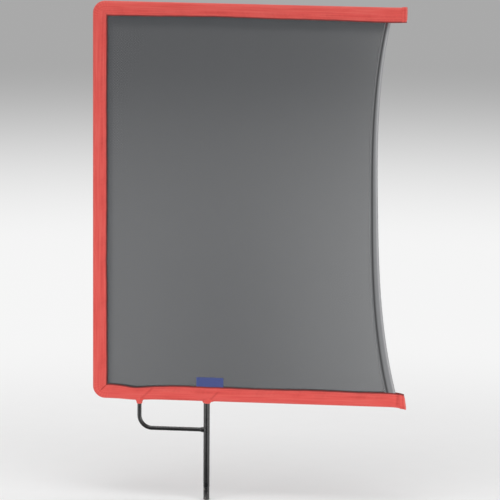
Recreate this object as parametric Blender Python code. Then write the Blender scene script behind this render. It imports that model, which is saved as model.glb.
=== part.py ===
"""Open-end net flag: a double net held taut on a bent steel rod, with a 3/8 inch pin.

Metres, +Z up. The origin is the centre of the pin's lower end face. +Z runs up the pin,
+X along the arms to the open side, and the front of the net looks along -Y.
The steel frame carries everything: canvas casings are folded round its rod and sewn to
themselves with the net between their layers, and a cord in the net's hem keeps its open
side taut. A coordinate pair is (x, z) in the plane of the net.
"""

import math

import bmesh
import bpy
import numpy as np

INCH = 0.0254
GAP = 0.0003  # clearance between pieces that touch on the real object

# Overall size: a nominal 18 by 24 inch flag, measured over its casings
HEIGHT = 24 * INCH
PIN_SHOWN = 0.1534  # from the pin's foot to the lower casing's outer edge
SPINE_OUTER_X = -0.1743
LOWER_ARM_END_X = 0.3030
UPPER_ARM_END_X = 0.2988

# Steel stock
ROD_R = 0.125 * INCH
PIN_R = 0.1875 * INCH
PIN_CHAMFER = 0.0009
PIN_SIDES = 40
ROD_RESOLUTION = 6  # of the curve's bevel, which gives 16 sides
BEND_R = 0.0143  # of the rod's centreline at the frame's corners
BEND_STEPS = 8

# Bent tips of the arms: length, how far the tip turns up, and the lean of its end
LOWER_TIP = (0.0250, -0.0030, 0.128)
UPPER_TIP = (0.0250, 0.0006, 0.0)
TIP_STEPS = 6
ROD_SHORT = 0.0045  # the rod stops this far inside the end patch

# Brace: leaves the lower arm towards the spine and turns in to the pin
BRACE_X = -0.1030
BRACE_Z = 0.1090
BRACE_BEND_R = 0.0195
BRACE_STEPS = 10

# Welds
PIN_HEAD_GAP = 0.0016  # from the pin's head to the rod, filled by the weld
PIN_BEAD_TAPER = 0.0006
BRACE_TOP_BEAD = (0.0010, 0.0024)  # how far it stands out from the brace and runs along it
BRACE_SIDE_BEAD = (0.0024, 0.0034)
BEAD_SUNK = 0.0012  # a bead starts this far inside what it joins, and is then cut back

# Casing of red canvas
CLOTH = 0.0009
CASING_REACH = 0.0185  # from the rod's centre to the casing's inner edge
FLANGE_START = 0.0125  # from the rod's centre to where the two layers lie flat
FLANGE_HALF_GAP = 0.0009
NOSE_POINTS = 11
MITRE_RUN = 0.006

# Boots of the same canvas where the pin and the brace leave the casing
BOOT_CLOTH = 0.0008
BOOT_SIDES = 36
BOOT_LEVELS = (0.0, 0.12, 0.3, 0.5, 0.72, 1.0)
PIN_BOOT = {"foot": 0.1511, "spread": 0.0160, "slant": -0.10}
BRACE_BOOT = {"foot": 0.1472, "spread": 0.0120, "slant": 0.0}

# Patches folded over the arms' ends
PATCH_CLOTH = 0.0005
LOWER_PATCH_LENGTH = 0.0090
UPPER_PATCH_LENGTH = 0.0080
PATCH_STEPS = 5

# Two layers of net, and the hem along the open side with a cord in its fold
NET_THICK = 0.0004
NET_HALF_GAP = 0.0002
NET_IN_CASING = 0.0120  # from the rod's centre to the net's edge inside the casing
EDGE_TOP_X = 0.2743  # outer side of the hem at the upper casing
EDGE_BOTTOM_X = 0.2873
EDGE_BOW = 0.0230
EDGE_BOW_POWER = 2.8
EDGE_STEPS = 28
HEM_TOP_WIDTH = 0.0085
HEM_BOTTOM_WIDTH = 0.0150
HEM_CLOTH = 0.0004
HEM_FOLD_POINTS = 7
CORD_R = 0.0008
CORD_RESOLUTION = 2
FERRULE_R = 0.0016
FERRULE_LENGTH = 0.0030
FERRULE_START = 0.0044  # from the rod's centre

# Woven label, its lower edge behind the lower casing's front layer
LABEL_X = (-0.0158, 0.0254)
LABEL_TOP = 0.1903
LABEL_TUCK = 0.0045
LABEL_THICK = 0.0003
LABEL_FRONT = 0.00125

# Where the rod's centreline runs
NOSE_R = ROD_R + GAP + CLOTH
LOWER_Z = PIN_SHOWN + NOSE_R
UPPER_Z = PIN_SHOWN + HEIGHT - NOSE_R
SPINE_X = SPINE_OUTER_X + NOSE_R
RIGHT, UP = np.array([1.0, 0.0]), np.array([0.0, 1.0])
LOWER_CORNER = np.array([SPINE_X, LOWER_Z])
UPPER_CORNER = np.array([SPINE_X, UPPER_Z])


# Scene and materials


def clear_scene():
    """Empties the scene and its unused data."""
    for obj in list(bpy.data.objects):
        bpy.data.objects.remove(obj, do_unlink=True)
    for store in (bpy.data.meshes, bpy.data.curves, bpy.data.materials):
        for block in list(store):
            store.remove(block)


def material(name, colour, roughness, metallic=0.0):
    """A Principled material of one colour, given as linear red, green and blue."""
    made = bpy.data.materials.new(name)
    made.use_nodes = True
    made.diffuse_color = (*colour, 1.0)
    shader = made.node_tree.nodes["Principled BSDF"]
    shader.inputs["Base Color"].default_value = (*colour, 1.0)
    shader.inputs["Roughness"].default_value = roughness
    shader.inputs["Metallic"].default_value = metallic
    return made


# Geometry in the plane of the net


def left_of(direction):
    """The direction turned a quarter turn from +X towards +Z."""
    return np.array([-direction[1], direction[0]])


def in_space(points, y=0.0):
    """(x, z) points as (x, y, z) points."""
    points = np.atleast_2d(points)
    return np.column_stack([points[:, 0], np.full(len(points), y), points[:, 1]])


def ways_along(points):
    """Unit direction along a line of points, at each point."""
    slope = np.gradient(points, axis=0)
    return slope / np.linalg.norm(slope, axis=1)[:, None]


def rounded(vertex, first, second, radius, steps):
    """The arc that joins the lines that run from a square vertex along first and second."""
    centre = vertex + (first + second) * radius
    turn = np.linspace(0, math.pi / 2, steps + 1)[:, None]
    return centre - radius * (second * np.cos(turn) + first * np.sin(turn))


def tip_share(xs, end_x, length):
    """How far along a tip these places are, from 0 before it starts to 1 at its end."""
    return np.clip((xs - end_x + length) / length, 0, 1)


def tip_points(xs, corner, end_x, tip):
    """Places on an arm's centreline, whose tip turns by the square of its share."""
    length, turned, _ = tip
    return np.column_stack([xs, corner[1] + turned * tip_share(xs, end_x, length) ** 2])


def tip_line(corner, end_x, tip):
    """Centreline of an arm's tip."""
    return tip_points(np.linspace(end_x - tip[0], end_x, TIP_STEPS + 1), corner, end_x, tip)


def shortened(line, by):
    """The line of points with its last stretch cut short by a length."""
    last = line[-1] - line[-2]
    length = np.linalg.norm(last)
    end = line[-2] + last * max(0.1, 1 - by / length)
    return np.concatenate([line[:-1], [end]])


LOWER_ARM = (LOWER_CORNER, LOWER_ARM_END_X, LOWER_TIP)
UPPER_ARM = (UPPER_CORNER, UPPER_ARM_END_X, UPPER_TIP)


# Building solids


def add_object(name, data, skin):
    """An object of the mesh or curve, in the scene, with its material."""
    if skin:
        data.materials.append(skin)
    obj = bpy.data.objects.new(name, data)
    bpy.context.scene.collection.objects.link(obj)
    return obj


def solid(name, mesh, skin):
    """An object of a closed mesh, with its faces out and its round parts smooth."""
    edit = bmesh.new()
    edit.from_mesh(mesh)
    bmesh.ops.remove_doubles(edit, verts=edit.verts, dist=1e-7)
    bmesh.ops.recalc_face_normals(edit, faces=edit.faces)
    edit.to_mesh(mesh)
    edit.free()
    mesh.shade_smooth()
    mesh.set_sharp_from_angle(angle=math.radians(35))
    return add_object(name, mesh, skin)


def mesh_of(name, points, faces):
    """A mesh of these points and faces."""
    mesh = bpy.data.meshes.new(name)
    mesh.from_pydata([tuple(point) for point in points], [], faces)
    return mesh


def grid_faces(rows, columns, first=0, wrap=False):
    """Quads between the points of a grid that is stored row by row from index first."""
    faces = []
    for row in range(rows - 1):
        for column in range(columns if wrap else columns - 1):
            a = first + row * columns + column
            b = first + row * columns + (column + 1) % columns
            faces.append((a, b, b + columns, a + columns))
    return faces


def folded_cloth(name, outer, inner, skin):
    """A closed shell between an outer and an inner grid of points of the same shape.

    The grids are stations along the piece by points round its fold.
    """
    rows, columns = outer.shape[:2]
    count = rows * columns
    faces = grid_faces(rows, columns) + grid_faces(rows, columns, count)
    for row in (0, rows - 1):
        for column in range(columns - 1):
            a = row * columns + column
            faces.append((a, a + 1, a + 1 + count, a + count))
    for column in (0, columns - 1):
        for row in range(rows - 1):
            a = row * columns + column
            faces.append((a, a + columns, a + columns + count, a + count))
    points = np.concatenate([outer.reshape(-1, 3), inner.reshape(-1, 3)])
    return solid(name, mesh_of(name, points, faces), skin)


def lofted(name, rings, skin=None):
    """A closed solid through rings of points, with a flat face at each end."""
    rows, columns = rings.shape[:2]
    faces = grid_faces(rows, columns, wrap=True)
    faces.append(tuple(range(columns)))
    faces.append(tuple(range((rows - 1) * columns, rows * columns)))
    return solid(name, mesh_of(name, rings.reshape(-1, 3), faces), skin)


def spokes(axis, sides):
    """Unit vectors square to an axis in the plane of the net, evenly round it."""
    across = np.array([0.0, 1.0, 0.0])
    up = np.cross(axis, across)
    angle = 2 * math.pi * (np.arange(sides) + 0.5) / sides
    return np.cos(angle)[:, None] * across + np.sin(angle)[:, None] * up


def round_bar(name, start, end, radius, sides=32, skin=None, end_radius=None):
    """A round bar between two points of the plane, tapered if it has an end radius."""
    start, end = in_space(start)[0], in_space(end)[0]
    circle = spokes((end - start) / np.linalg.norm(end - start), sides)
    rings = np.stack([start + circle * radius, end + circle * (end_radius or radius)])
    return lofted(name, rings, skin)


def block(name, low, high, skin=None):
    """A box between its lowest and highest corners."""
    corners = [(low[0], low[1]), (high[0], low[1]), (high[0], high[1]), (low[0], high[1])]
    rings = np.array([[(x, y, z) for x, y in corners] for z in (low[2], high[2])])
    return lofted(name, rings, skin)


def cut(obj, *tools):
    """Takes each tool's shape out of the object, and hides the tool."""
    for tool in tools:
        boolean = obj.modifiers.new(f"cut_{tool.name}", "BOOLEAN")
        boolean.operation = "DIFFERENCE"
        boolean.solver = "EXACT"
        boolean.object = tool
        tool.hide_render = True
        tool.display_type = "WIRE"
    return obj


def bent_bar(name, line, radius, skin, resolution=ROD_RESOLUTION):
    """A round bar along a line of (x, z) points, closed at its ends."""
    curve = bpy.data.curves.new(name, "CURVE")
    curve.dimensions = "3D"
    curve.bevel_depth = radius
    curve.bevel_resolution = resolution
    curve.use_fill_caps = True
    spline = curve.splines.new("POLY")
    spline.points.add(len(line) - 1)
    for point, place in zip(spline.points, in_space(line)):
        point.co = (*place, 1.0)
    return add_object(name, curve, skin)


# Steel frame


def make_frame_rod(steel):
    """The quarter inch rod, bent into two arms and a spine."""
    line = np.concatenate(
        [
            shortened(tip_line(*LOWER_ARM), ROD_SHORT)[::-1],
            rounded(LOWER_CORNER, RIGHT, UP, BEND_R, BEND_STEPS),
            rounded(UPPER_CORNER, -UP, RIGHT, BEND_R, BEND_STEPS),
            shortened(tip_line(*UPPER_ARM), ROD_SHORT),
        ]
    )
    return bent_bar("frame_rod", line, ROD_R, steel)


def make_pin(steel):
    """The pin: a turned bar with a chamfered foot, welded by its head to the lower arm."""
    head = LOWER_Z - ROD_R - PIN_HEAD_GAP
    profile = [
        (0.0, 0.0),
        (PIN_R - PIN_CHAMFER, 0.0),
        (PIN_R, PIN_CHAMFER),
        (PIN_R, head),
        (0.0, head),
    ]
    edit = bmesh.new()
    points = [edit.verts.new((radius, 0.0, z)) for radius, z in profile]
    edges = [edit.edges.new(pair) for pair in zip(points, points[1:])]
    bmesh.ops.spin(
        edit,
        geom=points + edges,
        cent=(0, 0, 0),
        axis=(0, 0, 1),
        angle=2 * math.pi,
        steps=PIN_SIDES,
        use_merge=True,
    )
    mesh = bpy.data.meshes.new("pin")
    edit.to_mesh(mesh)
    edit.free()
    return solid("pin", mesh, steel)


def make_brace(steel):
    """The quarter inch brace, bent once, from under the lower arm to the pin's side."""
    vertex = np.array([BRACE_X, BRACE_Z])
    line = np.concatenate(
        [
            [[BRACE_X, LOWER_Z - ROD_R - GAP]],
            rounded(vertex, UP, RIGHT, BRACE_BEND_R, BRACE_STEPS),
            [[-PIN_R - GAP, BRACE_Z]],
        ]
    )
    return bent_bar("brace", line, ROD_R, steel)


def arm_space(name, x):
    """The lower arm's rod with its clearance, near x, to cut from what is welded to it."""
    reach = RIGHT * 0.02
    centre = np.array([x, LOWER_Z])
    return round_bar(name, centre - reach, centre + reach, ROD_R + GAP, 24)


def make_pin_weld(steel):
    """The saddle of weld metal between the pin's head and the lower arm."""
    foot = UP * (LOWER_Z - ROD_R - PIN_HEAD_GAP + GAP)
    top = UP * (LOWER_Z - 2 * GAP)
    bead = round_bar(
        "weld_pin_to_arm", foot, top, PIN_R, PIN_SIDES, steel, PIN_R - PIN_BEAD_TAPER
    )
    return cut(bead, arm_space("arm_at_pin", 0.0))


def bead_ring(name, start, way, stands, length, steel):
    """A ring of weld metal round the brace's end, swollen where it meets the other piece.

    Its outside follows a quarter of an ellipse from there along the brace.
    """
    centre, axis = in_space(start)[0], in_space(way)[0]
    circle = spokes(axis, 24)
    swell = np.linspace(0, math.pi / 2, 6)[:-1]
    rings = [
        centre + axis * length * math.sin(s) + circle * (ROD_R + stands * math.cos(s))
        for s in swell
    ]
    rings.append(centre + axis * length + circle * ROD_R / 2)
    return lofted(name, np.stack(rings), steel)


def make_brace_welds(steel):
    """The beads at the brace's two ends."""
    stands, runs = BRACE_TOP_BEAD
    start = np.array([BRACE_X, LOWER_Z - ROD_R + BEAD_SUNK])
    top = bead_ring("weld_brace_to_arm", start, -UP, stands, runs + BEAD_SUNK, steel)
    stock = round_bar(
        "brace_stock_up", [BRACE_X, BRACE_Z], [BRACE_X, LOWER_Z], ROD_R + GAP, 24
    )
    cut(top, arm_space("arm_at_brace", BRACE_X), stock)

    stands, runs = BRACE_SIDE_BEAD
    start = np.array([-PIN_R + BEAD_SUNK, BRACE_Z])
    side = bead_ring("weld_brace_to_pin", start, -RIGHT, stands, runs + BEAD_SUNK, steel)
    stock = round_bar(
        "brace_stock_in", [BRACE_X, BRACE_Z], [-PIN_R, BRACE_Z], ROD_R + GAP, 24
    )
    around = UP * 4 * ROD_R
    level = UP * BRACE_Z
    pin = round_bar("pin_at_brace", level - around, level + around, PIN_R + GAP)
    cut(side, stock, pin)


# Casings


def fold_outline(nose_r, half, reach):
    """Outline of cloth folded round the rod, as (outwards, y) from the rod's centre.

    It runs from the front layer's free edge round the rod to the back layer's free edge.
    The layers leave the rod on the tangents that lead to where they start to lie flat.
    """
    distance = math.hypot(FLANGE_START, half)
    tangent = math.atan2(half, -FLANGE_START) - math.acos(nose_r / distance)
    turn = np.linspace(-tangent, tangent, NOSE_POINTS)
    nose = nose_r * np.column_stack([np.cos(turn), np.sin(turn)])
    front = [(-reach, -half), (-FLANGE_START, -half)]
    back = [(-FLANGE_START, half), (-reach, half)]
    return np.concatenate([front, nose, back])


def casing_outline(offset, reach_offset=0.0):
    """The casing's outline, its cloth's inner side moved out by an offset."""
    return fold_outline(
        ROD_R + GAP + offset, FLANGE_HALF_GAP + offset, CASING_REACH + reach_offset
    )


def station(outline, centre, outward):
    """The outline's points, set across the rod at a point of its centreline."""
    flat = centre + outline[:, :1] * outward
    return np.column_stack([flat[:, 0], outline[:, 1], flat[:, 1]])


def mitre_stations(outline, corner, along, outward):
    """Stations that carry the outline round half a corner and end on the mitre.

    A point outside the bend's centre turns about it. One inside the centre, on the flat
    layers, runs straight on to the mitre, as folded cloth does.
    """
    centre = corner + (along - outward) * BEND_R
    radius = BEND_R + outline[:, 0]
    turning = radius > 2 * GAP
    last = math.pi / 4 - np.arcsin(GAP / 2 / np.where(turning, radius, GAP))
    end = GAP / 2 * math.sqrt(2) - radius
    rings = []
    for share in np.linspace(0, 1, BEND_STEPS // 2 + 2):
        back = np.where(turning, -radius * np.sin(last * share), end + (1 - share) * MITRE_RUN)
        out = np.where(turning, radius * np.cos(last * share), radius)
        flat = centre + out[:, None] * outward + back[:, None] * along
        rings.append(np.column_stack([flat[:, 0], outline[:, 1], flat[:, 1]]))
    return rings


def tip_stations(outline, arm, outward, xs):
    """Stations across an arm's tip at these places.

    Each stays upright but for the tip's lean, which grows with the square of its share
    and takes the end's outer edge further along than its inner one.
    """
    corner, end_x, tip = arm
    leans = tip[2] * tip_share(xs, end_x, tip[0]) ** 2
    points = tip_points(xs, corner, end_x, tip)
    return [
        station(outline, point, outward + RIGHT * lean)
        for point, lean in zip(points, leans)
    ]


def arm_stations(outline, arm, outward):
    """Stations of an arm's casing, from its mitre to its free end."""
    corner, end_x, tip = arm
    xs = np.linspace(end_x - tip[0], end_x - GAP - PATCH_CLOTH, TIP_STEPS + 1)
    rings = mitre_stations(outline, corner, RIGHT, outward)[::-1]
    return np.stack(rings + tip_stations(outline, arm, outward, xs))


def spine_stations(outline):
    """Stations of the spine's casing, from the lower mitre to the upper one."""
    lower = mitre_stations(outline, LOWER_CORNER, UP, -RIGHT)[::-1]
    upper = mitre_stations(outline, UPPER_CORNER, -UP, -RIGHT)
    return np.stack(lower + upper)


def make_casings(canvas):
    """The three canvas strips sewn over the rod, mitred at the spine's corners."""
    outer, inner = casing_outline(CLOTH), casing_outline(0.0)
    made = []
    for name, arm, outward in (
        ("casing_bottom", LOWER_ARM, -UP),
        ("casing_top", UPPER_ARM, UP),
    ):
        grids = [arm_stations(side, arm, outward) for side in (outer, inner)]
        made.append(folded_cloth(name, *grids, canvas))
    folded_cloth("casing_spine", spine_stations(outer), spine_stations(inner), canvas)
    return made


def exit_hole(name, x, radius):
    """A round hole through the lower casing's fold, as far in as the rod."""
    top = np.array([x, LOWER_Z - GAP])
    return round_bar(name, top - UP * 5 * ROD_R, top, radius)


def make_boot(name, x, shape, stock_r, weld_r, weld_foot, canvas):
    """A canvas boot, drawn down from the casing's fold to a sleeve round the stock.

    Its level sections are ovals. The long half falls with the cube of the height, as
    gathered cloth does, and the foot slants.
    """
    sleeve = stock_r + GAP + BOOT_CLOTH
    saddle = max(NOSE_R + GAP + BOOT_CLOTH, sleeve)
    fold = LOWER_Z - NOSE_R
    angle = 2 * math.pi * (np.arange(BOOT_SIDES) + 0.5) / BOOT_SIDES
    rings = []
    for share in BOOT_LEVELS:
        across = (sleeve + (shape["spread"] - sleeve) * share**3) * np.cos(angle)
        level = shape["foot"] + (fold - shape["foot"]) * share
        height = level + shape["slant"] * (1 - share) ** 2 * across
        deep = (sleeve + (saddle - sleeve) * share) * np.sin(angle)
        rings.append(np.column_stack([x + across, deep, height]))
    rings.append(rings[-1] + np.array([0, 0, NOSE_R - 2 * GAP]))
    boot = lofted(name, np.stack(rings), canvas)

    clear = casing_outline(CLOTH + GAP)
    sides = [station(clear, np.array([x + dx, LOWER_Z]), -UP) for dx in (-0.03, 0.03)]
    casing = lofted(f"{name}_casing", np.stack(sides))
    low, high = np.array([x, shape["foot"] - 0.02]), np.array([x, LOWER_Z])
    stock = round_bar(f"{name}_stock", low, high, stock_r + GAP, BOOT_SIDES)
    weld_low = np.array([x, weld_foot - GAP])
    weld = round_bar(f"{name}_weld", weld_low, high, weld_r + GAP, BOOT_SIDES)
    return cut(boot, casing, stock, weld)


def make_end_patch(name, arm, outward, length, canvas):
    """A cup of canvas folded over an arm's end, outside its casing."""
    end_x = arm[1]
    outer = casing_outline(CLOTH + GAP + PATCH_CLOTH, GAP + PATCH_CLOTH)
    inner = casing_outline(CLOTH + GAP, GAP)
    xs = np.linspace(end_x - length, end_x, PATCH_STEPS)
    cup = lofted(name, np.stack(tip_stations(outer, arm, outward, xs)), canvas)
    past = xs + np.linspace(-4 * PATCH_CLOTH, -PATCH_CLOTH, PATCH_STEPS)
    hollow = np.stack(tip_stations(inner, arm, outward, past))
    return cut(cup, lofted(f"{name}_hollow", hollow))


# Net and its open side


def open_edge(inset, distance):
    """Points down the open side, inset from the hem's outer side, from top to bottom.

    The side bows in from the straight line between its ends by
    EDGE_BOW * (1 - |2t - 1| ** EDGE_BOW_POWER), with t from 0 to 1 along that line.
    Its first and last stretches run on, or stop short, at this distance from the arms.
    """
    top = np.array([EDGE_TOP_X, UPPER_Z - CASING_REACH])
    low = np.array([EDGE_BOTTOM_X, LOWER_Z + CASING_REACH])
    t = np.linspace(0, 1, EDGE_STEPS + 1)[:, None]
    across = left_of((low - top) / np.linalg.norm(low - top))
    bow = EDGE_BOW * (1 - np.abs(2 * t - 1) ** EDGE_BOW_POWER)
    line = top + (low - top) * t - across * bow
    ways = ways_along(line)
    inset = np.broadcast_to(np.reshape(inset, (-1, 1)), (len(line), 1))
    line = line - np.column_stack([-ways[:, 1], ways[:, 0]]) * inset
    for end, beside, level in (
        (0, 1, UPPER_Z - distance),
        (-1, -2, LOWER_Z + distance),
    ):
        way = line[end] - line[beside]
        line[end] = line[beside] + way * (level - line[beside, 1]) / way[1]
    return line


def make_net(name, centre_y, net):
    """One layer of net, cut to the frame with its open side bowed in."""
    inset = 2 * CORD_R + 2 * HEM_CLOTH + 3 * GAP
    edge = open_edge(inset, NET_IN_CASING)
    left = SPINE_X + NET_IN_CASING
    corners = [(left, LOWER_Z + NET_IN_CASING), (left, UPPER_Z - NET_IN_CASING)]
    outline = np.concatenate([edge, corners])
    sides = [in_space(outline, centre_y + side * NET_THICK / 2) for side in (-1, 1)]
    return lofted(name, np.stack(sides), net)


def make_hem(net):
    """The net's edge turned over into a hem that widens downwards, with room for the cord."""
    t = np.linspace(0, 1, EDGE_STEPS + 1)
    width = HEM_TOP_WIDTH + (HEM_BOTTOM_WIDTH - HEM_TOP_WIDTH) * t
    fold = CORD_R + GAP + HEM_CLOTH
    turn = np.linspace(-math.pi / 2, math.pi / 2, HEM_FOLD_POINTS)
    distance = CASING_REACH + GAP
    sewn, flat = open_edge(width, distance), open_edge(3 * fold, distance)

    def side(radius, half):
        """Grid of the hem's outer or inner side: stations by points round its fold."""
        round_part = [open_edge(fold - radius * math.cos(a), distance) for a in turn]
        lines = [sewn, flat, *round_part, flat, sewn]
        heights = [-half, -half, *(radius * np.sin(turn)), half, half]
        return np.stack([in_space(line, y) for line, y in zip(lines, heights)], axis=1)

    half = NET_HALF_GAP + NET_THICK + GAP
    return folded_cloth(
        "edge_hem", side(fold, half + HEM_CLOTH), side(CORD_R + GAP, half), net
    )


def cord_line():
    """Centreline of the cord, from inside the upper casing to inside the lower one."""
    return open_edge(CORD_R + GAP + HEM_CLOTH, FERRULE_START)


def cord_space(name, line):
    """A stretch of the cord with its clearance, to cut from the casing."""
    rings = [
        point + spokes(way, 12) * (CORD_R + GAP)
        for point, way in zip(in_space(line), in_space(ways_along(line)))
    ]
    return lofted(name, np.stack(rings))


def make_ferrule(name, end, beside, brass):
    """A crimped ferrule on the cord's end, too thick to pull out between the layers."""
    way = (beside - end) / np.linalg.norm(beside - end)
    body = round_bar(name, end, end + way * FERRULE_LENGTH, FERRULE_R, 20, brass)
    far = way * 2 * FERRULE_LENGTH
    return cut(body, round_bar(f"{name}_bore", end - far, end + far, CORD_R + GAP, 16))


def label_block(name, margin, back_y, skin=None):
    """The label's box, grown by a margin on the sides and below, back to a level."""
    low = LOWER_Z + CASING_REACH - LABEL_TUCK
    return block(
        name,
        (LABEL_X[0] - margin, -LABEL_FRONT - margin, low - margin),
        (LABEL_X[1] + margin, back_y, LABEL_TOP),
        skin,
    )


def main():
    """Builds every piece of the flag."""
    clear_scene()
    steel = material("black_painted_steel", (0.018, 0.018, 0.019), 0.42)
    canvas = material("red_canvas", (0.68, 0.10, 0.09), 0.85)
    net = material("black_net", (0.13, 0.13, 0.14), 0.8)
    cord = material("grey_cord", (0.35, 0.35, 0.36), 0.7)
    ferrule = material("zinc_ferrule", (0.45, 0.45, 0.43), 0.4, 1.0)
    weave = material("blue_label", (0.05, 0.08, 0.24), 0.75)

    make_frame_rod(steel)
    make_pin(steel)
    make_brace(steel)
    make_pin_weld(steel)
    make_brace_welds(steel)

    line = cord_line()
    bottom, top = make_casings(canvas)
    stands, runs = BRACE_TOP_BEAD
    brace_weld = (ROD_R + stands, LOWER_Z - ROD_R - runs)
    pin_weld = (PIN_R, LOWER_Z - ROD_R - PIN_HEAD_GAP)
    cut(
        bottom,
        exit_hole("pin_exit", 0.0, PIN_R + GAP),
        exit_hole("brace_exit", BRACE_X, brace_weld[0] + GAP),
        cord_space("cord_low", line[-4:]),
        label_block("label_pocket", GAP, 0.0),
    )
    cut(top, cord_space("cord_high", line[:4]))
    make_boot("boot_pin", 0.0, PIN_BOOT, PIN_R, *pin_weld, canvas)
    make_boot("boot_brace", BRACE_X, BRACE_BOOT, ROD_R, *brace_weld, canvas)
    make_end_patch("end_patch_bottom", LOWER_ARM, -UP, LOWER_PATCH_LENGTH, canvas)
    make_end_patch("end_patch_top", UPPER_ARM, UP, UPPER_PATCH_LENGTH, canvas)

    layer = NET_HALF_GAP + NET_THICK / 2
    make_net("net_front", -layer, net)
    make_net("net_back", layer, net)
    make_hem(net)
    bent_bar("edge_cord", line, CORD_R, cord, CORD_RESOLUTION)
    make_ferrule("ferrule_top", line[0], line[1], ferrule)
    make_ferrule("ferrule_bottom", line[-1], line[-2], ferrule)
    label_block("label", 0.0, LABEL_THICK - LABEL_FRONT, weave)


main()
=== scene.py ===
"""Net flag: the finished look of an open-end double net on its bent steel frame.

Metres, +Z up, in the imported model's frame: the origin is the centre of the pin's foot, +X
runs along the arms to the open side, and the net's front looks along -Y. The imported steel
and cloth solids fix every place. This file puts the sewn canvas, the nets, the hem, the
label and the steel's finished surfaces where those solids are.
"""

from __future__ import annotations

import logging
import math
from dataclasses import dataclass, field
from enum import Enum

import bmesh
import bpy
import numpy as np
from mathutils import Matrix, Vector


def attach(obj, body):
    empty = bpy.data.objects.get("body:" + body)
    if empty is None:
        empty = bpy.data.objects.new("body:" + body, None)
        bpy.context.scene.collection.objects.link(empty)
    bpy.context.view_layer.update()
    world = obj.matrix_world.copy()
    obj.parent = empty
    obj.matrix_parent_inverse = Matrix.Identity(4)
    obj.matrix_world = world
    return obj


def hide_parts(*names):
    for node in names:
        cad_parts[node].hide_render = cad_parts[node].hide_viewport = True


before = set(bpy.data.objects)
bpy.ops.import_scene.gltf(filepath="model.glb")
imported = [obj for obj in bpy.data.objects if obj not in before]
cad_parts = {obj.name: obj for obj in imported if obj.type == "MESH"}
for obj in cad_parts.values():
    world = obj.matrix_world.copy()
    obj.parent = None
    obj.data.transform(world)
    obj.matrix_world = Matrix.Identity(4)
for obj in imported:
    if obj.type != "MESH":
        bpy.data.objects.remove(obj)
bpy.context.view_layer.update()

logging.basicConfig(level=logging.INFO, format="%(message)s")
LOG = logging.getLogger("net_flag")

Array = np.ndarray
MM = 0.001
GOLDEN_ANGLE = 2.39996  # radians
WAVE = 0.314  # metres between a Wave texture's bands at a scale of 1
SHARP = math.radians(50)  # edges that turn more than this stay sharp
RIGHT = np.array([1.0, 0.0])
UP = np.array([0.0, 1.0])


@dataclass(frozen=True)
class FlagSizes:
    """The flag's own sizes in metres, the same as its solids are built from."""

    rod_r: float = 3.175 * MM
    pin_r: float = 4.7625 * MM
    gap: float = 0.3 * MM
    canvas: float = 0.9 * MM
    lower_z: float = 157.775 * MM
    upper_z: float = 758.625 * MM
    spine_x: float = -169.925 * MM
    bend_r: float = 14.3 * MM
    casing_reach: float = 18.5 * MM
    flange_start: float = 12.5 * MM
    flange_half_gap: float = 0.9 * MM
    brace_x: float = -103.0 * MM
    brace_z: float = 109.0 * MM
    brace_bend_r: float = 19.5 * MM

    @property
    def nose_r(self) -> float:
        """Radius of the canvas's outer side where it goes round the rod."""
        return self.rod_r + self.gap + self.canvas


FLAG = FlagSizes()


def linear(colour: str) -> tuple[float, float, float, float]:
    """Turns an sRGB hex colour into linear red, green, blue and an alpha of 1.

    Args:
        colour: the colour as "#rrggbb".

    Returns:
        The four values that a colour socket takes.
    """
    parts = [int(colour[i : i + 2], 16) / 255 for i in (1, 3, 5)]
    bent = [p / 12.92 if p <= 0.04045 else ((p + 0.055) / 1.055) ** 2.4 for p in parts]
    return (*bent, 1.0)


def node(
    tree: bpy.types.NodeTree,
    kind: str,
    inputs: dict[int | str, object] | None = None,
    **settings: object,
) -> bpy.types.Node:
    """Adds a node with its settings and links.

    Args:
        tree: the node tree of a material or the world.
        kind: the node's type without its leading "ShaderNode".
        inputs: for an input's name or number, its value, or what it is linked to: a socket,
            or a node, whose output in use it takes.
        settings: the node's own properties.

    Returns:
        The new node.
    """
    made = tree.nodes.new("ShaderNode" + kind)
    for key, value in settings.items():
        setattr(made, key, value)
    for key, value in (inputs or {}).items():
        if isinstance(value, bpy.types.Node):
            value = next(output for output in value.outputs if output.enabled)
        if isinstance(value, bpy.types.NodeSocket):
            tree.links.new(value, made.inputs[key])
        else:
            made.inputs[key].default_value = value
    return made


def blank(name: str) -> bpy.types.Material:
    """A material with an empty node tree."""
    made = bpy.data.materials.new(name)
    made.use_nodes = True
    made.node_tree.nodes.clear()
    return made


def waves(place: Array, lengths: tuple[float, ...], turn: float) -> Array:
    """A calm uneven line: the mean of one sine for each wavelength.

    The phases are multiples of the golden angle, so the sines never line up.

    Args:
        place: where along the line, in metres.
        lengths: the sines' wavelengths in metres.
        turn: a number that makes one line differ from the next.

    Returns:
        Values from -1 to 1, of the shape of place.
    """
    parts = [
        np.sin(2 * math.pi * place / length + GOLDEN_ANGLE * (turn + k))
        for k, length in enumerate(lengths)
    ]
    return sum(parts) / len(parts)


def bell(distance: Array, width: float) -> Array:
    """A smooth bump: exp(-(distance / width) squared)."""
    return np.exp(-((distance / width) ** 2))


def ease(value: Array, low: float, high: float) -> Array:
    """A smooth step from 0 at low to 1 at high: 3t squared less 2t cubed."""
    t = np.clip((value - low) / (high - low), 0.0, 1.0)
    return t * t * (3 - 2 * t)


def unit(vectors: Array) -> Array:
    """The vectors at length 1."""
    return vectors / np.maximum(np.linalg.norm(vectors, axis=-1, keepdims=True), 1e-12)


class Caps(Enum):
    """How the ends of a surface's rows are closed."""

    OPEN = "open"
    FLAT = "flat"  # one face across each end ring
    STRIP = "strip"  # quads between the ring's first and second halves


class Faces(Enum):
    """Which way a mesh's faces look."""

    AS_MADE = "as made"
    OUTWARDS = "outwards"
    OTHER_WAY = "other way"


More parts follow.
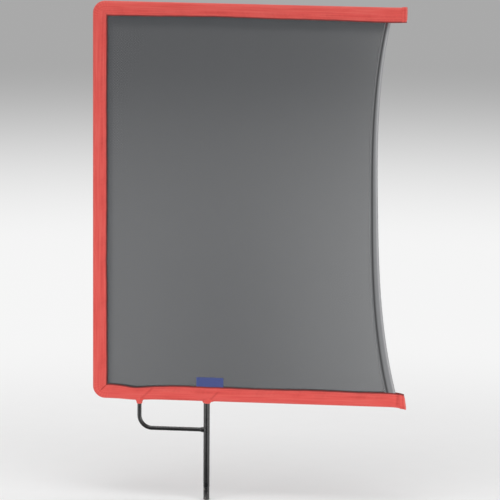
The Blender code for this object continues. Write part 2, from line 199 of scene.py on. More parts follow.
def smooth_object(mesh: bpy.types.Mesh, faces: Faces) -> bpy.types.Object:
    """Puts a mesh in the scene, its faces smooth and turned the way they should look.

    Args:
        mesh: the finished mesh, whose name the object takes.
        faces: which way they should look.

    Returns:
        The object, at the origin.
    """
    edit = bmesh.new()
    edit.from_mesh(mesh)
    if faces is Faces.OUTWARDS:
        bmesh.ops.recalc_face_normals(edit, faces=edit.faces)
    if faces is Faces.OTHER_WAY:
        bmesh.ops.reverse_faces(edit, faces=edit.faces)
    edit.to_mesh(mesh)
    edit.free()
    mesh.shade_smooth()
    made = bpy.data.objects.new(mesh.name, mesh)
    bpy.context.scene.collection.objects.link(made)
    return made


def dress(piece: bpy.types.Object, finish: bpy.types.Material, slot: str, *nodes: str) -> None:
    """Gives a new piece its finish and its place in the part's one body.

    Args:
        piece: the new piece.
        finish: its material.
        slot: not used.
        nodes: the CAD nodes that it stands for.
    """
    piece.data.materials.append(finish)
    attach(piece, "root")
    if nodes:
        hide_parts(*nodes)


def repaint(name: str, finish: bpy.types.Material) -> None:
    """Gives a solid that stays its finish."""
    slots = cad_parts[name].data.materials
    slots.clear()
    slots.append(finish)
    LOG.info("%s: the solid, with its finish", name)


def around(count: int) -> Array:
    """Even angles once round."""
    return 2 * math.pi * np.arange(count) / count


def closed_cloth(rows: Array, across: Array, shape: tuple[int, int]) -> Array:
    """A ring's cloth map: the length along it and across it, its first column repeated."""
    cloth = np.stack([np.broadcast_to(rows, shape), np.broadcast_to(across, shape)], -1)
    return np.concatenate([cloth, cloth[:, :1]], axis=1)


def surface(
    name: str,
    points: Array,
    cloth: Array | None = None,
    ring: bool = False,
    loop: bool = False,
    caps: Caps = Caps.OPEN,
    values: dict[str, Array] | None = None,
    looks: Faces = Faces.AS_MADE,
) -> bpy.types.Object:
    """Makes an object of a grid of points.

    Args:
        name: the object's name.
        points: rows by columns by (x, y, z), in metres.
        cloth: for each corner of the grid, its place on the flat cloth in metres. A ring
            has one column more than its points, and a loop one row more.
        ring: whether the last column joins the first.
        loop: whether the last row joins the first.
        caps: how the first and last rows are closed.
        values: named numbers for each point, for the material.
        looks: which way an open sheet's faces look. A ring's look outwards.

    Returns:
        The object, linked to the scene, with smooth faces.
    """
    rows, columns = points.shape[:2]
    row, column = np.meshgrid(
        np.arange(rows - (not loop)), np.arange(columns - (not ring)), indexing="ij"
    )
    corner_row = np.stack([row, row, row + 1, row + 1], -1).reshape(-1, 4)
    corner_column = np.stack([column, column + 1, column + 1, column], -1).reshape(-1, 4)
    quads = (corner_row % rows) * columns + corner_column % columns
    faces = quads.tolist()
    last = (rows - 1) * columns
    if caps is Caps.FLAT:
        faces += [list(range(columns)), list(range(last, last + columns))]
    if caps is Caps.STRIP:
        near = np.arange(columns // 2 - 1)
        far = columns - 1 - near
        strip = np.stack([near, near + 1, far - 1, far], -1)
        faces += strip.tolist() + (strip + last).tolist()
    mesh = bpy.data.meshes.new(name)
    mesh.from_pydata(points.reshape(-1, 3), [], faces)
    if cloth is not None:
        laid = np.zeros((len(mesh.loops), 2))
        on_quads = cloth[corner_row, corner_column].reshape(-1, 2)
        laid[: len(on_quads)] = on_quads
        if len(laid) > len(on_quads):
            index = np.empty(len(mesh.loops), np.int32)
            mesh.loops.foreach_get("vertex_index", index)
            rest = index[len(on_quads) :]
            laid[len(on_quads) :] = cloth[rest // columns, rest % columns]
        mesh.uv_layers.new(name="cloth").data.foreach_set("uv", laid.ravel())
    for key, value in (values or {}).items():
        stored = mesh.attributes.new(key, "FLOAT", "POINT")
        stored.data.foreach_set("value", np.broadcast_to(value, (rows, columns)).ravel())
    made = smooth_object(mesh, Faces.OUTWARDS if ring else looks)
    mesh.set_sharp_from_angle(angle=SHARP)
    return made


# Finishes


@dataclass(frozen=True)
class WovenCanvas:
    """Cotton canvas, dyed in the piece and plain-woven, with a painted shadow along its free edges.

    To the eye it is matt, with the small hills of its yarns, slightly faded where it is
    rubbed, and streaked along its yarns, with painted shade between its yarns and in its
    creases.
    """

    name: str = "woven_cotton_canvas"
    colour: str = "#df5852"
    faded: str = "#e77b72"
    # the darker red: dull streaks, and painted shade between yarns and in creases, seams and mouths
    deep: str = "#a9312d"
    # painted shadow: the dark maroon of the band along each free edge
    painted_edge_shadow: str = "#7c3230"
    # Real yarns lie about 0.6 mm apart, less than half a pixel of the render. They are
    # drawn 1.5 mm apart, so that a weave shows.
    yarn: float = 1.5 * MM
    yarn_height: float = 0.06 * MM
    fibre: float = 0.8 * MM
    streak: tuple[float, float] = (70 * MM, 2.6 * MM)  # uneven yarns: length, width
    roughness: float = 0.86
    specular: float = 0.25
    sheen: float = 0.08

    def material(self) -> bpy.types.Material:
        """The canvas, woven along the piece's own cloth map."""
        made = blank(self.name)
        tree = made.node_tree
        place = node(tree, "UVMap", uv_map="cloth")
        counted = node(tree, "VectorMath", {0: place, 3: math.pi / self.yarn}, operation="SCALE")
        axes = node(tree, "SeparateXYZ", {0: counted})
        weft = node(tree, "Math", {0: axes.outputs[0]}, operation="SINE")
        warp = node(tree, "Math", {0: axes.outputs[1]}, operation="SINE")
        # A yarn's height is its own round profile, more where it passes over the other
        # and less where it passes under it
        crossing = node(tree, "Math", {0: weft, 1: warp}, operation="MULTIPLY")
        weft_side = node(tree, "Math", {0: weft}, operation="ABSOLUTE")
        warp_side = node(tree, "Math", {0: warp}, operation="ABSOLUTE")
        weft_up = node(tree, "Math", {0: weft_side, 1: crossing}, operation="SUBTRACT")
        warp_up = node(tree, "Math", {0: warp_side, 1: crossing}, operation="ADD")
        woven = node(tree, "Math", {0: weft_up, 1: warp_up}, operation="MAXIMUM")

        body = node(tree, "TexCoord").outputs["Object"]
        fibre = node(tree, "TexNoise", {"Vector": body, "Scale": 1 / self.fibre})
        drawn = node(
            tree,
            "Mapping",
            {"Vector": place, "Scale": (1 / self.streak[0], 1 / self.streak[1], 1.0)},
        )
        streaks = node(tree, "TexNoise", {"Vector": drawn, "Scale": 1.0, "Detail": 3.0})
        worn = node(tree, "Attribute", attribute_name="worn").outputs["Fac"]
        # sunk: painted shade where the cloth sinks, in creases, seams and mouths
        sunk = node(tree, "Attribute", attribute_name="sunk").outputs["Fac"]
        # The painted shadow along the free edges
        edge_shadow_mask = node(tree, "Attribute", attribute_name="painted_edge_shadow").outputs["Fac"]
        patchy = node(tree, "MapRange", {0: streaks, 1: 0.45, 2: 0.75, 3: 0.0, 4: 0.4})
        fade = node(tree, "Math", {0: patchy, 1: worn}, operation="ADD", use_clamp=True)
        faded = node(
            tree,
            "Mix",
            {0: fade, 6: linear(self.colour), 7: linear(self.faded)},
            data_type="RGBA",
        )
        dull = node(tree, "MapRange", {0: streaks, 1: 0.48, 2: 0.25, 3: 0.0, 4: 0.2})
        # Painted shade in the valleys between the yarns
        between = node(tree, "MapRange", {0: woven, 1: 0.5, 2: 1.4, 3: 0.28, 4: 0.0})
        low = node(tree, "Math", {0: between, 1: dull}, operation="ADD")
        lower = node(tree, "Math", {0: low, 1: sunk}, operation="ADD", use_clamp=True)
        shaded = node(tree, "Mix", {0: lower, 6: faded, 7: linear(self.deep)}, data_type="RGBA")
        # The free edges take the painted shadow's dark maroon
        edged = node(tree, "Mix", {0: edge_shadow_mask, 6: shaded, 7: linear(self.painted_edge_shadow)}, data_type="RGBA")
        hills = node(tree, "Math", {0: fibre, 1: 0.5, 2: woven}, operation="MULTIPLY_ADD")
        bump = node(tree, "Bump", {"Height": hills, "Distance": self.yarn_height})
        shader = node(tree, "BsdfPrincipled", {
            "Base Color": edged,
            "Roughness": self.roughness,
            "Specular IOR Level": self.specular,
            "Sheen Weight": self.sheen,
            "Normal": bump,
        })
        node(tree, "OutputMaterial", {0: shader})
        return made


@dataclass(frozen=True)
class SewingThread:
    """Polyester thread, twisted from three plies: slightly shiny, with slanting grooves."""

    name: str = "twisted_polyester_thread"
    colour: str = "#d4615c"
    roughness: float = 0.5
    twist: float = 0.7 * MM  # real plies turn about this often, and show only close up

    def material(self) -> bpy.types.Material:
        """Thread whose plies are grooves slanting across it."""
        made = blank(self.name)
        tree = made.node_tree
        body = node(tree, "TexCoord").outputs["Object"]
        plies = node(
            tree,
            "TexWave",
            {"Vector": body, "Scale": WAVE / self.twist, "Distortion": 0.6},
            bands_direction="DIAGONAL",
        )
        # Painted shade in the grooves between the plies, lighter on their tops
        tint = node(tree, "HueSaturation", {
            "Color": linear(self.colour),
            "Value": node(tree, "MapRange", {0: plies, 3: 0.8, 4: 1.05}),
        })
        bump = node(tree, "Bump", {"Height": plies, "Distance": 0.05 * MM})
        shader = node(
            tree,
            "BsdfPrincipled",
            {"Base Color": tint, "Roughness": self.roughness, "Normal": bump},
        )
        node(tree, "OutputMaterial", {0: shader})
        return made


@dataclass(frozen=True)
class Bobbinet:
    """Black bobbinet: thin cotton threads twisted round each other into six-sided holes.

    To the eye it is an even dark grey veil, because its holes are too small to make out.
    """

    name: str
    turned: float  # how far the mesh is turned in its plane, in degrees
    colour: str = "#4d4f52"
    # Real holes are about 1.2 mm across, less than a pixel of the render. They are drawn
    # 2.4 mm across, and each is filled by a veil that stands for the finer threads.
    hole: float = 2.4 * MM
    thread: float = 0.24  # width of a drawn thread, as a share of a hole
    thread_cover: float = 0.97
    veil_cover: float = 0.445
    closer_cover: float = 0.22  # more where the net is closer, or turned over on itself
    roughness: float = 0.8
    specular: float = 0.2

    def material(self) -> bpy.types.Material:
        """The net, see-through between its threads.

        The nearer centre of two rectangular lattices gives the six-sided cell that a
        point is in. With q its distances from that centre, the larger of q.x and
        q.x / 2 + q.y * root 3 / 2 goes from 0 there to 0.5 at the cell's sides.
        """
        made = blank(self.name)
        tree = made.node_tree
        body = node(tree, "TexCoord").outputs["Object"]
        turned = node(
            tree,
            "Mapping",
            {"Vector": body, "Rotation": (math.pi / 2, 0.0, math.radians(self.turned))},
        )
        flat = node(tree, "VectorMath", {0: turned, 1: (1, 1, 0)}, operation="MULTIPLY")
        scaled = node(tree, "VectorMath", {0: flat, 3: 1 / self.hole}, operation="SCALE")
        cell = (1.0, math.sqrt(3), 1.0)
        half = (0.5, math.sqrt(3) / 2, 0.0)
        offsets = []
        # Moved on by many whole cells, so that no place is less than 0
        for shift in (700.0, 700.5):
            moved = tuple(a * shift for a in cell[:2]) + (0.0,)
            placed = node(tree, "VectorMath", {0: scaled, 1: moved}, operation="ADD")
            inside = node(tree, "VectorMath", {0: placed, 1: cell}, operation="MODULO")
            offsets.append(node(tree, "VectorMath", {0: inside, 1: half}, operation="SUBTRACT"))
        lengths = [node(tree, "VectorMath", {0: offset}, operation="LENGTH") for offset in offsets]
        nearer = node(tree, "Math", {0: lengths[0], 1: lengths[1]}, operation="LESS_THAN")
        chosen = node(tree, "Mix", {0: nearer, 4: offsets[1], 5: offsets[0]}, data_type="VECTOR")
        from_centre = node(tree, "VectorMath", {0: chosen}, operation="ABSOLUTE")
        slanted = node(tree, "VectorMath", {0: from_centre, 1: half}, operation="DOT_PRODUCT")
        q = node(tree, "SeparateXYZ", {0: from_centre})
        side = node(tree, "Math", {0: q.outputs[0], 1: slanted}, operation="MAXIMUM")
        edge = 0.5 - self.thread / 2
        thread = node(tree, "MapRange", {0: side, 1: edge - 0.05, 2: edge + 0.05}, clamp=True)
        single = node(tree, "MapRange", {0: thread, 3: self.veil_cover, 4: self.thread_cover})
        closer = node(tree, "Attribute", attribute_name="closer").outputs["Fac"]
        cover = node(
            tree,
            "Math",
            {0: closer, 1: self.closer_cover, 2: single},
            operation="MULTIPLY_ADD",
            use_clamp=True,
        )
        bump = node(tree, "Bump", {"Height": thread, "Distance": 0.04 * MM})
        shader = node(tree, "BsdfPrincipled", {
            "Base Color": linear(self.colour),
            "Roughness": self.roughness,
            "Specular IOR Level": self.specular,
            "Alpha": cover,
            "Normal": bump,
        })
        node(tree, "OutputMaterial", {0: shader})
        return made


@dataclass(frozen=True)
class HemTape:
    """Grey knitted edge tape folded over a cord, with dark overlock and painted shade along its sewn
    side.

    To the eye it is a lighter grey band, with a painted highlight along its fold.
    """

    name: str = "knitted_edge_tape"
    colour: str = "#7d7e80"
    # painted highlight along the fold
    ridge: str = "#a8a8aa"
    selvedge: str = "#78797b"
    # dark overlock thread, with painted shade in the seam's groove
    seam: str = "#2c2d2e"
    # Real courses lie 0.5 mm apart. They are drawn 1.6 mm apart, so that they show.
    course: float = 1.6 * MM
    roughness: float = 0.7
    sheen: float = 0.3

    def material(self) -> bpy.types.Material:
        """The tape, its courses across its length."""
        made = blank(self.name)
        tree = made.node_tree
        place = node(tree, "UVMap", uv_map="cloth")
        courses = node(
            tree,
            "TexWave",
            {"Vector": place, "Scale": WAVE / self.course, "Distortion": 0.8},
        )
        # Painted highlight along the fold
        ridge = node(tree, "Attribute", attribute_name="ridge").outputs["Fac"]
        seam = node(tree, "Attribute", attribute_name="seam").outputs["Fac"]
        beyond = node(tree, "Attribute", attribute_name="selvedge").outputs["Fac"]
        band = node(
            tree,
            "Mix",
            {0: beyond, 6: linear(self.colour), 7: linear(self.selvedge)},
            data_type="RGBA",
        )
        lit = node(tree, "Mix", {0: ridge, 6: band, 7: linear(self.ridge)}, data_type="RGBA")
        # Painted shade between the knitted courses
        knit = node(tree, "MapRange", {0: courses, 3: 0.86, 4: 1.04})
        lines = node(tree, "HueSaturation", {"Color": lit, "Value": knit})
        sewn = node(tree, "Mix", {0: seam, 6: lines, 7: linear(self.seam)}, data_type="RGBA")
        bump = node(tree, "Bump", {"Height": courses, "Distance": 0.12 * MM})
        shader = node(tree, "BsdfPrincipled", {
            "Base Color": sewn,
            "Roughness": self.roughness,
            "Sheen Weight": self.sheen,
            "Normal": bump,
        })
        node(tree, "OutputMaterial", {0: shader})
        return made


@dataclass(frozen=True)
class PaintedSteel:
    """Mild steel under black paint, sprayed over the welds.

    To the eye it is black and half glossy, with faint runs and dust in the paint, and
    bare steel where the paint is rubbed off.
    """

    name: str = "black_painted_mild_steel"
    colour: str = "#151516"
    bare: str = "#8f8b85"
    grain: float = 2.5 * MM  # the paint's orange peel
    cloud_scale: float = 60.0  # patches of other gloss, about 17 mm across
    chip_scale: float = 420.0  # chips, about 2.4 mm across
    gloss: tuple[float, float] = (0.24, 0.36)
    specular: float = 0.5
    worn_below: float = -1.0  # height under which the paint is rubbed, in metres
    worn_over: float = 0.02

    def material(self) -> bpy.types.Material:
        """The paint, with scratches of bare metal below a height."""
        made = blank(self.name)
        tree = made.node_tree
        body = node(tree, "TexCoord").outputs["Object"]
        peel = node(tree, "TexNoise", {"Vector": body, "Scale": 1 / self.grain, "Detail": 3})
        clouds = node(tree, "TexNoise", {"Vector": body, "Scale": self.cloud_scale, "Detail": 5})
        long_way = node(tree, "Mapping", {"Vector": body, "Scale": (1.0, 1.0, 0.35)})
        chips = node(tree, "TexNoise", {"Vector": long_way, "Scale": self.chip_scale, "Detail": 6})
        height = node(tree, "SeparateXYZ", {0: body}).outputs[2]
        rubbed = node(
            tree,
            "MapRange",
            {0: height, 1: self.worn_below, 2: self.worn_below + self.worn_over, 3: 0.47, 4: 0.25},
        )
        over = node(tree, "Math", {0: rubbed, 1: chips}, operation="SUBTRACT")
        edge = node(tree, "Attribute", attribute_name="worn").outputs["Fac"]
        both = node(tree, "Math", {0: over, 1: edge}, operation="ADD")
        bare = node(tree, "MapRange", {0: both, 1: 0.06, 2: 0.12, 3: 0.0, 4: 1.0})
        colour = node(
            tree,
            "Mix",
            {0: bare, 6: linear(self.colour), 7: linear(self.bare)},
            data_type="RGBA",
        )
        rough = node(tree, "MapRange", {0: clouds, 1: 0.3, 2: 0.7, 3: self.gloss[0], 4: self.gloss[1]})
        bump = node(tree, "Bump", {"Height": peel, "Distance": 0.03 * MM, "Strength": 0.6})
        shader = node(tree, "BsdfPrincipled", {
            "Base Color": colour,
            "Metallic": bare,
            "Roughness": rough,
            "Specular IOR Level": self.specular,
            "Normal": bump,
        })
        node(tree, "OutputMaterial", {0: shader})
        return made


@dataclass(frozen=True)
class DrawnZinc:
    """Zinc-plated ferrule, drawn and crimped: dull, with fine lines round it."""

    name: str = "zinc_plated_ferrule"
    colour: str = "#b3b1aa"
    line: float = 0.5 * MM

    def material(self) -> bpy.types.Material:
        """Dull metal with the drawing die's lines."""
        made = blank(self.name)
        tree = made.node_tree
        body = node(tree, "TexCoord").outputs["Object"]
        lines = node(
            tree,
            "TexWave",
            {"Vector": body, "Scale": WAVE / self.line, "Distortion": 1.5},
            bands_direction="Z",
        )
        rough = node(tree, "MapRange", {0: lines, 3: 0.3, 4: 0.5})
        bump = node(tree, "Bump", {"Height": lines, "Distance": 0.02 * MM})
        shader = node(
            tree,
            "BsdfPrincipled",
            {"Base Color": linear(self.colour), "Metallic": 1.0, "Roughness": rough, "Normal": bump},
        )
        node(tree, "OutputMaterial", {0: shader})
        return made


@dataclass(frozen=True)
class BraidedCord:
    """Polyester cord braided from fine strands: grey, with rows of slanting bumps."""

    name: str = "braided_cord"
    colour: str = "#9a9b9e"
    # painted shade in the hollows between strands
    hollow: str = "#66676a"
    strand: float = 0.6 * MM
    slant: float = 35.0  # of the strands across the cord, in degrees

    def material(self) -> bpy.types.Material:
        """The braid: two sets of strands that slant opposite ways, the higher one on top."""
        made = blank(self.name)
        tree = made.node_tree
        body = node(tree, "TexCoord").outputs["Object"]
        lays = []
        for slant in (self.slant, -self.slant):
            turned = node(
                tree, "Mapping", {"Vector": body, "Rotation": (0.0, math.radians(slant), 0.0)}
            )
            lays.append(
                node(
                    tree,
                    "TexWave",
                    {"Vector": turned, "Scale": WAVE / self.strand},
                    bands_direction="Z",
                )
            )
        woven = node(tree, "Math", {0: lays[0], 1: lays[1]}, operation="MAXIMUM")
        # Painted shade: darker in the hollows where neither set of strands is high
        colour = node(
            tree,
            "Mix",
            {0: woven, 6: linear(self.hollow), 7: linear(self.colour)},
            data_type="RGBA",
        )
        bump = node(tree, "Bump", {"Height": woven, "Distance": 0.1 * MM})
        shader = node(tree, "BsdfPrincipled", {"Base Color": colour, "Roughness": 0.7, "Normal": bump})
        node(tree, "OutputMaterial", {0: shader})
        return made


@dataclass(frozen=True)
class WovenRibbon:
    """Polyester label ribbon, woven in fine ribs: smooth, navy, with a soft shine."""

    name: str = "woven_label_ribbon"
    colour: str = "#4a5ba0"
    # dark: painted shade in the valleys between ribs, and uneven yarns
    dark: str = "#2b3870"
    # Real ribs lie 0.25 mm apart. They are drawn 1.2 mm apart, so that they show.
    rib: float = 1.2 * MM
    yarn_scale: float = 900.0  # uneven yarns, about 1.1 mm across
    roughness: float = 0.55
    sheen: float = 0.4

    def material(self) -> bpy.types.Material:
        """The ribbon's ribs, along its length."""
        made = blank(self.name)
        tree = made.node_tree
        place = node(tree, "UVMap", uv_map="cloth")
        ribs = node(
            tree,
            "TexWave",
            {"Vector": place, "Scale": WAVE / self.rib, "Distortion": 0.4},
            bands_direction="Y",
        )
        yarns = node(tree, "TexNoise", {"Vector": place, "Scale": self.yarn_scale, "Detail": 2})
        # Darker in the valleys between ribs, as painted shade, and where the yarns are uneven
        depth = node(tree, "Math", {0: ribs, 1: yarns}, operation="MULTIPLY")
        colour = node(
            tree,
            "Mix",
            {
                0: node(tree, "MapRange", {0: depth, 1: 0.1, 2: 0.6, 3: 0.0, 4: 1.0}),
                6: linear(self.dark),
                7: linear(self.colour),
            },
            data_type="RGBA",
        )
        bump = node(tree, "Bump", {"Height": ribs, "Distance": 0.06 * MM})
        shader = node(tree, "BsdfPrincipled", {
            "Base Color": colour,
            "Roughness": self.roughness,
            "Sheen Weight": self.sheen,
            "Normal": bump,
        })
        node(tree, "OutputMaterial", {0: shader})
        return made


# Cloth folded round a bar


@dataclass(frozen=True)
class FoldSection:
    """Cross-section of cloth folded round a bar and sewn to itself beyond it.

    Its line runs from the front layer's free edge, flat, then on a tangent to the bar,
    round the bar, and back the same way. Distances are outwards from the bar's centre.
    """

    nose_r: float  # radius of the cloth's middle round the bar
    half: float  # from the middle plane to the flat layers' middle
    start: float  # from the bar's centre to where the layers lie flat
    front: float  # from the bar's centre to the front layer's free edge
    back: float
    thickness: float
    step: float  # between points across the cloth

    def line(self) -> tuple[Array, Array]:
        """The cloth's middle line and the length so far along it."""
        far = math.hypot(self.start, self.half)
        tangent = math.atan2(self.half, -self.start) - math.acos(self.nose_r / far)
        turn = np.linspace(-tangent, tangent, 65)
        nose = self.nose_r * np.column_stack([np.cos(turn), np.sin(turn)])
        front = [(-self.front, -self.half), (-self.start, -self.half)]
        back = [(-self.start, self.half), (-self.back, self.half)]
        path = np.concatenate([front, nose, back])
        run = np.concatenate([[0], np.linalg.norm(np.diff(path, axis=0), axis=1).cumsum()])
        across = np.linspace(0, run[-1], round(run[-1] / self.step) + 1)
        points = np.column_stack([np.interp(across, run, path[:, k]) for k in (0, 1)])
        return points, across

    def ring(self) -> "Ring":
        """The closed outline of the cloth: its outer side, a round edge, and back inside."""
        points, across = self.line()
        way = unit(np.gradient(points, axis=0))
        out = np.column_stack([way[:, 1], -way[:, 0]])
        turn = np.radians([45, 90, 135])[:, None]
        last = np.cos(turn) * out[-1] + np.sin(turn) * way[-1]
        first = -np.cos(turn) * out[0] - np.sin(turn) * way[0]
        spread = np.concatenate([out, last, -out[::-1], first])
        middle = np.concatenate(
            [points, np.repeat(points[-1:], 3, 0), points[::-1], np.repeat(points[:1], 3, 0)]
        )
        pushed = np.concatenate([out, np.repeat(out[-1:], 3, 0), out[::-1], np.repeat(out[:1], 3, 0)])
        along = np.concatenate(
            [across, np.repeat(across[-1:], 3), across[::-1], np.repeat(across[:1], 3)]
        )
        return Ring(middle + spread * self.thickness / 2, pushed, along, across[-1])


@dataclass(frozen=True)
class Ring:
    """A closed outline across a folded cloth, one value for each of its points."""

    place: Array  # outwards, and towards the back
    push: Array  # the way the cloth's face looks
    across: Array  # length across the cloth from the front layer's free edge
    width: float  # of the whole cloth


@dataclass(frozen=True)
class Crease:
    """A slanting fold in a casing's front layer, from one (x, z) place to another."""

    start: tuple[float, float]
    end: tuple[float, float]
    depth: float = 0.5 * MM
    width: float = 1.5 * MM

    def push(self, x: Array, z: Array) -> Array:
        """How far the cloth moves out: a valley along the line with a ridge over it.

        Args:
            x: places along the flag.
            z: their heights.

        Returns:
            The push in metres, less than 0 where the cloth sinks.
        """
        start, end = np.array(self.start), np.array(self.end)
        length = np.linalg.norm(end - start)
        way = (end - start) / length
        along = (x - start[0]) * way[0] + (z - start[1]) * way[1]
        aside = (z - start[1]) * way[0] - (x - start[0]) * way[1]
        kept = ease(along, -2 * MM, 2 * MM) * (1 - ease(along, length - 3 * MM, length + 2 * MM))
        valley = -self.depth * bell(aside, self.width)
        ridge = 0.7 * self.depth * bell(aside - 2.2 * self.width, 1.6 * self.width)
        return kept * (valley + ridge)


@dataclass(frozen=True)
class Dent:
    """A small hollow in the cloth at an (x, z) place."""

    at: tuple[float, float]
    depth: float
    radius: float

    def push(self, x: Array, z: Array) -> Array:
        """How far the cloth moves out, less than 0 in the hollow."""
        return -self.depth * bell(np.hypot(x - self.at[0], z - self.at[1]), self.radius)


@dataclass
class Casing:
    """A canvas strip folded over one straight of the rod and mitred at its corners.

    A point's place is set by how far it lies along the strip, how far outwards from the
    rod, and how far back. Outside the centre of a corner's bend it turns about that
    centre. Inside it, the cloth lies flat and runs straight to the mitre.
    """

    name: str
    corner: tuple[float, float]
    along: Array
    outward: Array
    length: float  # from the corner's vertex to the arm's end, or to the next vertex
    two_corners: bool = False
    tip: tuple[float, float, float] = (0.025, 0.0, 0.0)  # length, turned up, lean
    creases: tuple[Crease | Dent, ...] = ()
    # In the free edges: place, depth, half width, the back's share of the depth
    dips: tuple[tuple[float, float, float, float], ...] = ()
    sags: tuple[tuple[float, float, float], ...] = ()  # in the fold: place, depth, half width
    pulls: tuple[tuple[float, float], ...] = ()  # long creases: place, half length
    turn: float = 0.0
    painted_edge_shadow: float = 1.6 * MM  # width of the painted shadow along a free edge
    back_wider: float = 0.8 * MM
    steady_from: float = 9 * MM  # from a free edge to where it no longer moves the cloth
    stitch: float = 3.1 * MM  # from one to the next
    slackness: float = 0.16 * MM
    drawn_in: float = 0.20 * MM  # along its stitches
    pucker: float = 0.09 * MM
    pull_depth: float = 0.05 * MM
    pull_apart: float = 3.4 * MM  # from one long crease to the next
    corner_run: float = 6 * MM
    corner_rows: int = 16
    step: float = 1.6 * MM
    seams: tuple[float, float] = (0.8 * MM, 0.1 * MM)  # depth at its two mitres
    rows_at: tuple[float, float] = (3.6 * MM, 8.2 * MM)  # stitch rows from the free edge

    def section(self) -> FoldSection:
        """The strip's fold, its back layer a little wider than its front one."""
        half_cloth = FLAG.canvas / 2
        return FoldSection(
            nose_r=FLAG.rod_r + FLAG.gap + half_cloth,
            half=FLAG.flange_half_gap + half_cloth,
            start=FLAG.flange_start,
            front=FLAG.casing_reach - half_cloth,
            back=FLAG.casing_reach - half_cloth + self.back_wider,
            thickness=FLAG.canvas,
            step=1.0 * MM,
        )

    def at_corner(self, out: Array, share: Array, run: float) -> tuple[Array, Array]:
        """Round half a corner, from the mitre at share 0 to the straight at share 1.

        Args:
            out: distances outwards from the rod's centre, rows by columns.
            share: the share of the way, one for each row.
            run: where the straight is taken up, past the bend's centre.

        Returns:
            Distances along and outwards from the bend's centre.
        """
        radius = FLAG.bend_r + out
        outside = radius > 0
        arc = np.where(outside, radius * math.pi / 4, 0.0)
        gone = share[:, None] * (np.where(outside, arc, radius) + run)
        turning = outside & (gone < arc)
        angle = np.where(turning, (arc - gone) / np.where(outside, radius, 1.0), 0.0)
        straight = np.where(outside, gone - arc, gone - radius)
        along = np.where(turning, -radius * np.sin(angle), straight)
        return along, np.where(turning, radius * np.cos(angle), radius)

    def rows(self) -> tuple[Array, Array, Array]:
        """The strip's rows: distance along the rod, share of a corner, and which corner."""
        share = np.linspace(0, 1, self.corner_rows) ** 1.4
        start = self.corner_run
        straight = self.length - FLAG.bend_r * (2 if self.two_corners else 1)
        end = straight - (self.corner_run if self.two_corners else 0.9 * MM)
        count = round((end - start) / self.step)
        middle = np.linspace(start, end, count + 1)[1:]
        before = (share - 1) * self.corner_run
        rows = [start + before, middle]
        shares = [share, np.ones(len(middle))]
        if self.two_corners:
            rows.append(end - before[::-1][1:])
            shares.append(share[::-1][1:])
        along = np.concatenate(rows)
        return along, np.concatenate(shares), along > straight / 2

    def tip_share(self, along: Array) -> Array:
        """How far along the arm's bent tip, from 0 before it to 1 at its end."""
        end = self.length - FLAG.bend_r
        return np.clip((along - end + self.tip[0]) / self.tip[0], 0, 1)

    def flat_place(self, along: Array, out: Array) -> tuple[Array, Array]:
        """The (x, z) place of a point on the straight, from the bend's centre."""
        centre = np.array(self.corner) + (self.along - self.outward) * FLAG.bend_r
        x = centre[0] + self.along[0] * along + self.outward[0] * (out + FLAG.bend_r)
        z = centre[1] + self.along[1] * along + self.outward[1] * (out + FLAG.bend_r)
        if self.two_corners:
            return x, z
        share = self.tip_share(along) ** 2
        return x + self.tip[2] * share * out, z + self.tip[1] * share

    def push(self, x: Array, z: Array, along: Array, across: Array, width: float) -> Array:
        """How far the canvas stands out from its smooth shape.

        It is slack by a sixth of a millimetre off the rod, drawn in along its stitches
        with small puckers between them, and folded where the pin and brace tug at it.

        Args:
            x: places along the flag.
            z: their heights.
            along: distances along the strip.
            across: distances across the cloth from the front free edge.
            width: the whole cloth's width.

        Returns:
            The push in metres.
        """
        from_edge = np.minimum(across, width - across)
        front = 1 - ease(across, 0.42 * width, 0.5 * width)
        slack = ease(from_edge, 20 * MM, 10 * MM)
        lines = (31 * MM, 47 * MM, 83 * MM)
        calm = self.slackness * slack * waves(along + 0.6 * from_edge, lines, self.turn + 7 * front)
        for k, row in enumerate(self.rows_at):
            puckers = waves(along, (6.3 * MM, 9.1 * MM), self.turn + k + 3 * front)
            calm = calm - self.drawn_in * bell(from_edge - row, 0.7 * MM)
            calm = calm + self.pucker * puckers * bell(from_edge - row, 2.6 * MM)
        for crease in self.creases:
            calm = calm + front * crease.push(x, z)
        for place, half_length in self.pulls:
            lines = np.sin(2 * math.pi * (from_edge + 0.03 * (along - place)) / self.pull_apart)
            calm = calm + self.pull_depth * front * lines * slack * bell(along - place, half_length)
        return calm

    def free_edges(self, along: Array) -> tuple[Array, Array]:
        """How far the front's and the back's free edge wander out towards the rod."""
        front = 0.28 * MM * waves(along, (23 * MM, 61 * MM, 140 * MM), self.turn)
        back = 0 * along
        for place, depth, half_width, followed in self.dips:
            dip = depth * bell(along - place, half_width)
            front, back = front + dip, back + followed * dip
        return front, back

    def build(self, finish: bpy.types.Material) -> bpy.types.Object:
        """Makes the strip of canvas.

        Args:
            finish: the canvas.

        Returns:
            The piece.
        """
        ring = self.section().ring()
        along, share, far = self.rows()
        out = np.broadcast_to(ring.place[:, 0], (len(along), len(ring.place))).copy()
        front_edge, back_edge = self.free_edges(along)
        out += front_edge[:, None] * (1 - ease(ring.across, 0.0, self.steady_from))
        out += back_edge[:, None] * (1 - ease(ring.width - ring.across, 0.0, self.steady_from))
        for place, depth, half_width in self.sags:
            hung = depth * bell(along - place, half_width)
            out += hung[:, None] * ease(ring.place[:, 0], -4 * MM, 2 * MM)
        x, z = self.flat_place(along[:, None], out)
        across = np.broadcast_to(ring.across, out.shape)
        push = self.push(x, z, along[:, None], across, ring.width)
        from_mitre = share[:, None] * (self.corner_run + 4 * MM)
        sewn = np.where(share[:, None] < 1, bell(from_mitre, 1.0 * MM), 0.0)
        inner = 1 - 0.9 * ease(out, -9 * MM, -4 * MM)
        push = push - np.where(far, *self.seams[::-1])[:, None] * sewn * inner
        out = out + ring.push[:, 0] * push
        back = ring.place[:, 1] + ring.push[:, 1] * push

